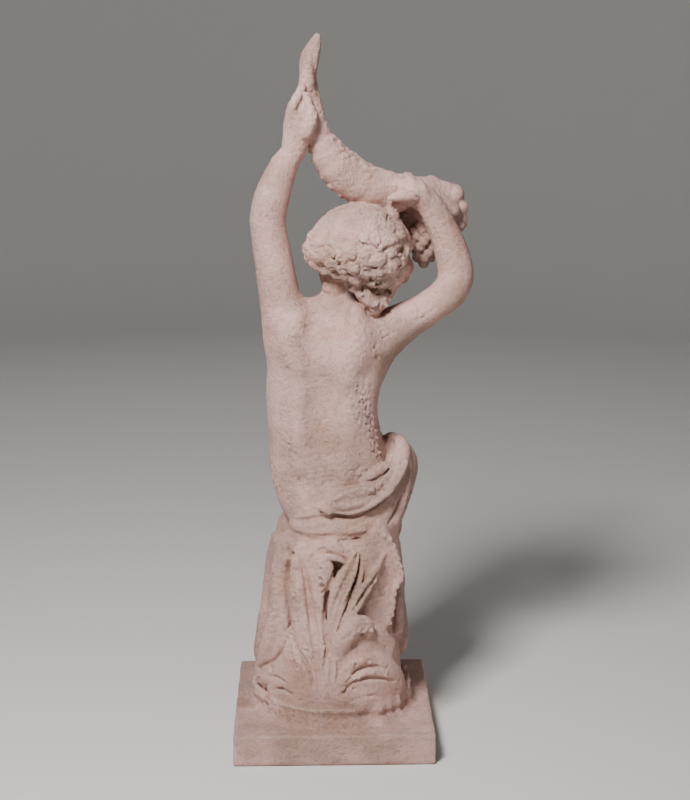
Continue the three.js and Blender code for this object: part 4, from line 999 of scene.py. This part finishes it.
def model_horn(clay, at):
    """The horn, its flaring mouth, the fruit heaped in it and the bunch that hangs below."""
    rows = [[*row, row[3]] for row in HORN]
    clay.join(clay.swept(at.figure(rows), swell=horn_swell, spacing=4.0), 2.0)
    path = curve_through(HORN, 2.6)
    for i, (start, end) in enumerate(zip(path, path[1:])):
        x, y, z, radius = start
        slope = unit((end - start)[:3] * (1, 0, 1))
        if not 398 > z > 352 or i % 5 == 3:
            continue
        for side, count in ((1, 3), (-1, 1)):
            for k in range(count):
                back = 0.35 * k + 0.3 * math.sin(i * 1.7 + k)
                out = np.array((-slope[2] * math.cos(back), math.sin(back), slope[0] * math.cos(back)))
                out = out * -side
                size = 1.8 + 0.8 * math.sin(i * 1.3 + 2 * k + side)
                spot = np.array((x, y, z)) + out * np.array((1, -side, 1)) * radius
                clay.join(clay.lump(at.spot(spot), (size * 1.4, size, size), axes_of(i + k)), 0.7)
    twist = along_back(clay, at, ((17.5, 484), (17, 474), (15.5, 464), (13.5, 452), (12, 443)), 0.6, 1.2, 2.2)
    clay.cut(clay.swept(twist, spacing=3.0), 3.0)
    # Fruit in the mouth, the mouth's lobes, fruit between the head and the mouth, and the bunch below
    for ring, count in enumerate((1, 6, 9)):
        for ball in range(count):
            turn = ball / count * 2 * math.pi + ring * 0.4
            across, rise = ring * 11.5 * math.cos(turn), ring * 12.5 * math.sin(turn)
            centre = at.spot((-111 + across, -58 - 0.35 * across + ring * 5, 322 + rise))
            size = 9.5 - ring * 0.9
            clay.join(clay.lump(centre, (size, size, size)), 1.2)
    clay.join(clay.lump(at.spot((-67, -16, 335)), (12, 13, 9), margin=8), 4.0)
    for x, y, z, size in ((-102, -40, 351.5, 9), (-127, -44, 341, 10), (-131, -45, 316, 9.5)):
        clay.join(clay.lump(at.spot((x, y, z)), (size, size + 4, size), margin=8), 3.5)
    for x, y, z, size in ((-81, -38, 331, 8), (-76, -41, 321, 7), (-86, -46, 321, 8), (-80, -44, 311, 7)):
        clay.join(clay.lump(at.spot((x, y, z)), (size, size, size)), 1.2)
    core = at.figure([[-105, -42, 318, 12, 12], [-103, -44, 302, 12, 12], [-100, -44, 286, 10, 10],
                      [-96, -43, 272, 4, 4]])
    clay.join(clay.swept(core), 2.0)
    for level, (count, reach) in enumerate(zip((7, 8, 8, 7, 6, 5, 4, 2), (14.5, 15, 15, 14, 12, 10, 7, 3))):
        for ball in range(count):
            turn = (ball + 0.5 * (level % 2)) / count * 2 * math.pi
            centre = (-100.5 + 0.7 * level + reach * math.cos(turn), -44 + reach * math.sin(turn),
                      312 - level * 5.9)
            clay.join(clay.lump(at.spot(centre), (5.6, 5.6, 5.6)), 0.8)


# The drapery

def model_drapery(clay, at):
    """Cloth over the lap and round the hips: a band at the seat, and the thick roll over the right hip."""
    def fold(rows, blend=2.5, facing=at.outwards):
        clay.join(clay.swept(at.figure(rows), facing), blend)

    def line(points, wide, high, blend=1.0):
        clay.join(clay.swept(along_back(clay, at, points, high, wide, wide), at.outwards, spacing=4.0), blend)

    def groove(points, wide, deep, blend=1.8):
        rows = along_back(clay, at, points, 0.8, wide, deep, ends=0.5)
        clay.cut(clay.swept(rows, at.outwards, spacing=3.0), blend)

    fold([[-42, 20, 10, 23, 25], [-53, 6, 38, 27, 30], [-59, -20, 60, 31, 30], [-57, -50, 60, 28, 26]], 6.0,
         UP)
    fold([[14, -6, 16, 22, 22], [19, -26, 25, 24, 25], [20, -52, 29, 24, 24]], 6.0, UP)
    band = [[39, 6], [39.5, 24], [32, 37.5], [18, 44.5], [-4, 46.5], [-26, 44], [-44, 36], [-56, 18]]
    fold([[x, y, 11 + 0.7 * i, 10.5, 5] for i, (x, y) in enumerate(band)], 1.0)
    fold([[15, 46, 36, 1.5, 2.5], [8, 47, 38, 5, 4.5], [-1.5, 48, 41, 9, 6], [-16, 47, 43.5, 12, 8],
          [-33, 43, 47, 12.5, 9], [-47, 37, 52, 11, 10], [-58, 28, 60, 9.5, 10], [-67, 14, 70, 9.5, 10],
          [-71, 0, 79, 9.5, 10],
          [-70, -14, 85, 9, 9], [-63, -26, 87, 8, 8]], 1.2)
    # The roll's rim, a crisp ridge along its lower edge, and the shade under it
    line([(13, 37), (6, 33.5), (-3, 31), (-12, 30), (-20, 30.5), (-29, 33), (-38, 37.5), (-47, 43),
          (-55, 49)], 3.0, 1.2)
    line([(-55, 49), (-63, 56), (-70, 65), (-75, 74)], 3.0, -0.3)
    groove([(8, 30.5), (-6, 26.6), (-19, 25.6), (-31, 28.5), (-43, 34.5), (-54, 42)], 2.6, 4.2)
    line([(-2, 46), (-14, 52.5), (-28, 55.5), (-40, 54)], 2.4, 0.3, 1.6)
    groove([(-6, 42), (-18, 44), (-32, 46), (-44, 50), (-56, 60), (-64, 72)], 3.2, 2.6, 3.0)
    # The small pleat tucked in above the roll
    fold([[-29, 41, 58, 2, 3], [-36, 38, 64, 5, 6], [-45, 33, 68, 6, 6], [-54, 24, 72, 5, 6]], 0.8)
    groove([(-36, 61), (-44, 62.5), (-51, 65)], 1.5, 1.3)
    groove([(-53, 66), (-58, 76), (-61, 86), (-61, 94)], 1.8, 4.5)
    # Hems of the band
    line([(43, 19.5), (36, 22.8), (28, 26), (20, 28.4), (12, 29.8), (4, 31)], 1.7, -0.5, 0.8)
    line([(44, 2.4), (36, 1.3), (28, 0.6), (16, 1.1), (4, 2), (-12, 3.8), (-28, 6), (-42, 8), (-53, 10)],
         2.0, -0.2, 0.8)
    groove([(40, 16), (28, 21.5), (14, 25), (2, 26)], 1.4, 1.6)
    groove([(41, 6.4), (26, 5), (8, 6), (-2, 7)], 1.8, 1.6)
    for points in (((20, 13), (12, 15), (4, 14)), ((-2, 20), (-9, 22), (-16, 21)),
                   ((-24, 20), (-34, 22), (-42, 27)), ((-46, 20), (-51, 28), (-54, 37))):
        groove(points, 1.8, 2.2, 2.5)
    clay.join(clay.lump(at.spot((-19, clay.behind(at, -19, 14) - 2.5, 11.5)), (15, 4, 4)), 2.0)
    # Folds down the outside of the hip
    groove([(-74, 44), (-70, 36), (-64, 24), (-57, 14)], 2.2, 5.0)
    groove([(-82, 58), (-79, 48), (-75, 38)], 1.8, 3.5)
    line([(-79, 70), (-77.5, 52), (-71, 30), (-64, 14)], 3.2, -1.5, 3.0)
    roll = [[43, 0, 28], [45, -24, 36], [34, -44, 43], [10, -53, 48], [-20, -53, 56], [-46, -42, 72],
            [-62, -22, 88]]
    fold([[x, y, z, 8, 8] for x, y, z in roll], 2.0)
    for pleat in range(6):
        x, lift = 18 - pleat * 11.5, 2.2 * pleat
        fold([[x + 6, -36, 50 + lift, 6, 6], [x + 2, -62, 42 + lift, 7, 7], [x - 2, -82, 10 + lift, 7, 8],
              [x - 5, -80, -40 - 3 * pleat, 7.5, 8], [x - 7, -75, -80 - 5 * pleat, 7, 6]], 2.5, BACK)


def model_statue(settings):
    """The whole statue in clay, from the ground up."""
    at = Layout(settings)
    margin = 6.0
    low, high = (np.array(tuple(corner)) / MM for corner in (NODE_LOW, NODE_HIGH))
    clay = Clay(low - margin, high + margin, settings.carving_step / MM)
    model_trunk(clay, at)
    model_casting_marks(clay, at)
    model_legs(clay, at)
    model_stump(clay, at)
    model_seat(clay, at)
    model_drapery(clay, at)
    model_falls(clay, at)
    model_leaves(clay, at)
    model_loose_cloth(clay, at)
    model_face(clay, at)
    model_hair(clay, at)
    model_horn(clay, at)
    model_hands(clay, at)
    model_foot(clay, at)
    model_plinth(clay, at)
    return clay.mesh(NODE)


# Materials and weathering

def add_node(tree, kind, inputs=None, output=0, **settings):
    """Adds a node with its settings, gives each input a value or a link, and returns one output."""
    node = tree.nodes.new(kind)
    for name, value in settings.items():
        setattr(node, name, value)
    for key, value in (inputs or {}).items():
        if isinstance(value, bpy.types.NodeSocket):
            tree.links.new(value, node.inputs[key])
        else:
            node.inputs[key].default_value = value
    return node.outputs[output] if node.outputs else None


def cast_stone(settings):
    """Cast stone, sand and cement poured in a mould: dull, chalky and pinkish beige, sandy to the eye."""
    material = bpy.data.materials.new("cast_stone_moulded")
    material.use_nodes = True
    tree = material.node_tree
    shader = tree.nodes["Principled BSDF"]
    place = add_node(tree, "ShaderNodeTexCoord", output="Object")

    # Patterns by their waves in a millimetre, detail and roughness. Real sand is too fine to show here,
    # so its grain is drawn 4 to 5 mm wide
    patterns = {}
    for name, per_millimetre, detail, rough in (
            ("clouds", 0.012, 4, 0.6), ("blotches", 0.025, 4, 0.6), ("streaks", 0.018, 5, 0.7),
            ("sand", 0.22, 6, 0.72), ("dots", 0.5, 2, 0.5)):
        patterns[name] = add_node(tree, "ShaderNodeTexNoise", {
            "Vector": place, "Scale": per_millimetre / MM, "Detail": detail, "Roughness": rough})
    # Hollows that hold dirt and painted shade, and ridges that are worn clean and carry a painted highlight,
    # felt for within some millimetres
    for name, reach, inside in (("hollows", 12, False), ("ridges", 3, True)):
        patterns[name] = add_node(tree, "ShaderNodeAmbientOcclusion", {"Distance": reach * MM}, "AO",
                                  samples=8, inside=inside)

    masks = {}
    for name, pattern, low, high, least, most in (
            ("warm", "clouds", 0.38, 0.66, 0, 1), ("hollow", "hollows", 0.86, 0.3, 0, 1),
            ("blotch", "blotches", 0.42, 0.64, 0, 0.6), ("streak", "streaks", 0.52, 0.7, 0, 0.36),
            # The hollows mask with the dirt colour is partly dirt and partly painted shade in creases and
            # recesses
            ("dust_and_painted_shade", "hollows", 0.7, 0.15, 0, 0.32), ("dark_sand", "sand", 0.5, 0.3, 0, 0.32),
            # The ridges mask lightens the ridges, partly wear and partly a painted highlight
            ("pores", "dots", 0.62, 0.7, 0, 0.35), ("rubbed_and_highlit", "ridges", 0.92, 0.45, 0, 0.5),
            ("coarse", "clouds", 0.42, 0.6, 0.4, 1), ("grain", "sand", 0.28, 0.72, 0, 1)):
        masks[name] = add_node(tree, "ShaderNodeMapRange", {
            "Value": patterns[pattern], "From Min": low, "From Max": high, "To Min": least, "To Max": most})
    for name, first, second in (("stain", "hollow", "blotch"), ("bumps", "grain", "coarse")):
        masks[name] = add_node(tree, "ShaderNodeMath", {0: masks[first], 1: masks[second]},
                               operation="MULTIPLY")

    colour = settings.stone_colour
    for name, over in (
            ("warm", settings.warm_colour), ("stain", settings.stain_colour),
            # Painted shade: the dirt colour laid into the hollows, partly dirt and partly shade
            ("streak", settings.stain_colour), ("dust_and_painted_shade", settings.dirt_and_shade_colour),
            ("dark_sand", settings.dirt_and_shade_colour), ("pores", settings.dirt_and_shade_colour),
            # Painted highlight: the worn edge colour laid on the ridges, partly wear and partly highlight
            ("rubbed_and_highlit", settings.worn_edge_and_highlight_colour)):
        colour = add_node(tree, "ShaderNodeMix", {0: masks[name], 6: colour, 7: over}, 2, data_type="RGBA")
    tree.links.new(colour, shader.inputs["Base Color"])
    shader.inputs["Roughness"].default_value = 0.9
    shader.inputs["Specular IOR Level"].default_value = 0.2
    bump = add_node(tree, "ShaderNodeBump", {"Height": masks["bumps"], "Strength": 1.0, "Distance": 2.7 * MM})
    tree.links.new(bump, shader.inputs["Normal"])
    return material


def weathering_tree(material):
    """Geometry nodes that press air-bubble pits and sandy patches into a surface."""
    tree = bpy.data.node_groups.new("Weathering", "GeometryNodeTree")
    tree.interface.new_socket("Geometry", in_out="INPUT", socket_type="NodeSocketGeometry")
    for name in ("Pit Depth", "Pit Spacing", "Sand Depth", "Seed"):
        tree.interface.new_socket(name, in_out="INPUT", socket_type="NodeSocketFloat")
    tree.interface.new_socket("Geometry", in_out="OUTPUT", socket_type="NodeSocketGeometry")
    given = tree.nodes.new("NodeGroupInput").outputs
    place = add_node(tree, "GeometryNodeInputPosition")
    scale = add_node(tree, "ShaderNodeMath", {0: 1.0, 1: given["Pit Spacing"]}, operation="DIVIDE")
    values = {"pit_depth": given["Pit Depth"], "sand_depth": given["Sand Depth"]}
    values["to_bubble"] = add_node(tree, "ShaderNodeTexVoronoi", {
        "Vector": place, "W": given["Seed"], "Scale": scale}, "Distance", voronoi_dimensions="4D")
    for name, per_millimetre in (("broad", 0.02), ("fine", 0.3)):
        values[name] = add_node(tree, "ShaderNodeTexNoise", {
            "Vector": place, "W": given["Seed"], "Scale": per_millimetre / MM, "Detail": 3},
            noise_dimensions="4D")
    # The lift, one sum after another: a name stands for an earlier result, and True clamps this one
    for name, operation, first, second, clamp in (
            ("patch", "SUBTRACT", "broad", 0.52, False), ("patch", "MULTIPLY", "patch", 9.0, True),
            ("pit", "DIVIDE", "to_bubble", 0.17, False), ("pit", "SUBTRACT", 1.0, "pit", True),
            ("pit", "POWER", "pit", 0.6, False), ("pit", "MULTIPLY", "pit", "pit_depth", False),
            ("pitted", "MULTIPLY", "patch", 1.2, False), ("pitted", "ADD", "pitted", 0.1, False),
            ("pit", "MULTIPLY", "pit", "pitted", False), ("sand", "SUBTRACT", "fine", 0.5, False),
            ("sand", "MULTIPLY", "sand", 4.0, False), ("sand", "MULTIPLY", "sand", "sand_depth", False),
            ("sandy", "MULTIPLY", "patch", 1.6, False), ("sandy", "ADD", "sandy", 0.25, False),
            ("sand", "MULTIPLY", "sand", "sandy", False), ("lift", "SUBTRACT", "sand", "pit", False)):
        pair = {0: values.get(first, first), 1: values.get(second, second)}
        values[name] = add_node(tree, "ShaderNodeMath", pair, operation=operation, use_clamp=clamp)
    normal = add_node(tree, "GeometryNodeInputNormal")
    offset = add_node(tree, "ShaderNodeVectorMath", {0: normal, "Scale": values["lift"]}, operation="SCALE")
    height = add_node(tree, "ShaderNodeSeparateXYZ", {0: place}, "Z")
    # The underside stays flat
    clear = add_node(tree, "FunctionNodeCompare", {0: height, 1: 2 * MM}, data_type="FLOAT",
                     operation="GREATER_THAN")
    moved = add_node(tree, "GeometryNodeSetPosition", {
        "Geometry": given["Geometry"], "Selection": clear, "Offset": offset})
    real = add_node(tree, "GeometryNodeRealizeInstances", {0: moved})
    painted = add_node(tree, "GeometryNodeSetMaterial", {"Geometry": real, "Material": material})
    add_node(tree, "NodeGroupOutput", {0: painted})
    return tree


def weathered(piece, settings, material):
    """Weathers a piece, thins its mesh to the triangles allowed, and leaves a plain mesh."""
    tree = weathering_tree(material)
    modifier = piece.modifiers.new("Weathering", "NODES")
    modifier.node_group = tree
    values = {"Pit Depth": settings.pit_depth, "Pit Spacing": settings.pit_spacing,
              "Sand Depth": settings.sand_depth, "Seed": 3.0}
    for socket in tree.interface.items_tree:
        if socket.in_out == "INPUT" and socket.name in values:
            modifier[socket.identifier] = values[socket.name]
    triangles = sum(len(polygon.vertices) - 2 for polygon in piece.data.polygons)
    thin = piece.modifiers.new("Thin", "DECIMATE")
    thin.ratio = min(1.0, settings.triangles / triangles)
    evaluated = piece.evaluated_get(bpy.context.evaluated_depsgraph_get())
    finished = bpy.data.meshes.new_from_object(evaluated)
    piece.modifiers.clear()
    piece.data = finished
    for polygon in finished.polygons:
        polygon.use_smooth = True


class CHERUB_OT_statue(bpy.types.Operator):
    """Model, cast and weather the statue"""

    bl_idname = "cherub.statue"
    bl_label = "Statue"

    def execute(self, context):
        settings = context.scene.cherub_statue
        mesh = model_statue(settings)
        if not mesh.polygons:
            raise RuntimeError("the clay holds no surface")
        piece = bpy.data.objects.new("cherub_casting", mesh)
        context.scene.collection.objects.link(piece)
        weathered(piece, settings, cast_stone(settings))
        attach(piece, "root")
        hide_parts(NODE)
        return {"FINISHED"}


# The stage

def area_light(name, place, target, size, power):
    """A soft rectangular light that faces a target."""
    data = bpy.data.lights.new(name, "AREA")
    data.shape = "RECTANGLE"
    data.size, data.size_y = size
    data.energy = power
    light = bpy.data.objects.new(name, data)
    light.location = place
    light.rotation_euler = (Vector(target) - Vector(place)).to_track_quat("-Z", "Y").to_euler()
    bpy.context.scene.collection.objects.link(light)


class CHERUB_OT_stage(bpy.types.Operator):
    """Add the floor, the soft lights and the camera"""

    bl_idname = "cherub.stage"
    bl_label = "Stage"

    def execute(self, context):
        settings = context.scene.cherub_stage
        flat, bend, rise, sides = 2.4, 1.2, 4.5, 48
        profile = [(0.001, 0.0), (flat / 2, 0.0), (flat, 0.0)]
        for step in range(1, 13):
            turn = step / 12 * math.pi / 2
            profile.append((flat + bend * math.sin(turn), bend * (1 - math.cos(turn))))
        profile.append((flat + bend, rise))
        points = []
        for reach, height in profile:
            for side in range(sides):
                turn = side / sides * 2 * math.pi
                points.append((reach * math.cos(turn), reach * math.sin(turn), height))
        faces = []
        for ring in range(len(profile) - 1):
            for side in range(sides):
                beside = (side + 1) % sides
                faces.append((ring * sides + side, ring * sides + beside, (ring + 1) * sides + beside,
                              (ring + 1) * sides + side))
        mesh = bpy.data.meshes.new("floor")
        mesh.from_pydata(points, [], [face[::-1] for face in faces])
        mesh.update()
        for polygon in mesh.polygons:
            polygon.use_smooth = True
        floor = bpy.data.objects.new("floor", mesh)
        context.scene.collection.objects.link(floor)
        material = bpy.data.materials.new("matt_paper_floor")
        material.use_nodes = True
        shader = material.node_tree.nodes["Principled BSDF"]
        shader.inputs["Base Color"].default_value = settings.floor_colour
        shader.inputs["Roughness"].default_value = 0.85
        mesh.materials.append(material)

        aim = (0, 0, 0.4)
        area_light("key", (0.44, 0.92, 1.46), aim, (0.35, 0.35), settings.key_power)
        area_light("fill", (-1.5, 0.9, 0.7), aim, (1.4, 1.4), settings.fill_power)
        area_light("front", (0.3, -1.7, 1.4), aim, (1.4, 1.4), settings.fill_power)
        world = bpy.data.worlds.new("studio")
        world.use_nodes = True
        world.node_tree.nodes["Background"].inputs[0].default_value = linear("#e6e6e8")
        world.node_tree.nodes["Background"].inputs[1].default_value = 0.15
        context.scene.world = world

        # The photograph's view, worked out from the square plinth's corners
        data = bpy.data.cameras.new("camera")
        data.sensor_width, data.lens = 36.0, 72.0
        data.clip_start, data.clip_end = 0.05, 30
        camera = bpy.data.objects.new("camera", data)
        camera.location = (0.0209, 1.598, 0.716)
        camera.rotation_euler = tuple(math.radians(a) for a in (77.3, 0.1, 178.75))
        context.scene.collection.objects.link(camera)
        context.scene.camera = camera
        return {"FINISHED"}


class CHERUB_PT_panel(bpy.types.Panel):
    """Statue settings and steps"""

    bl_label = "Statue"
    bl_idname = "CHERUB_PT_panel"
    bl_space_type = "VIEW_3D"
    bl_region_type = "UI"
    bl_category = "Statue"

    def draw(self, context):
        for group in (context.scene.cherub_statue, context.scene.cherub_stage):
            box = self.layout.box()
            for name in group.__annotations__:
                box.prop(group, name)
        self.layout.operator(CHERUB_OT_statue.bl_idname)
        self.layout.operator(CHERUB_OT_stage.bl_idname)


CLASSES = (StatueSettings, StageSettings, CHERUB_OT_statue, CHERUB_OT_stage, CHERUB_PT_panel)


def register():
    for item in CLASSES:
        bpy.utils.register_class(item)
    bpy.types.Scene.cherub_statue = bpy.props.PointerProperty(type=StatueSettings)
    bpy.types.Scene.cherub_stage = bpy.props.PointerProperty(type=StageSettings)


def unregister():
    del bpy.types.Scene.cherub_statue
    del bpy.types.Scene.cherub_stage
    for item in reversed(CLASSES):
        bpy.utils.unregister_class(item)


def main():
    """Makes the stage and the statue."""
    register()
    bpy.ops.cherub.stage()
    bpy.ops.cherub.statue()


if __name__ == "__main__":
    main()
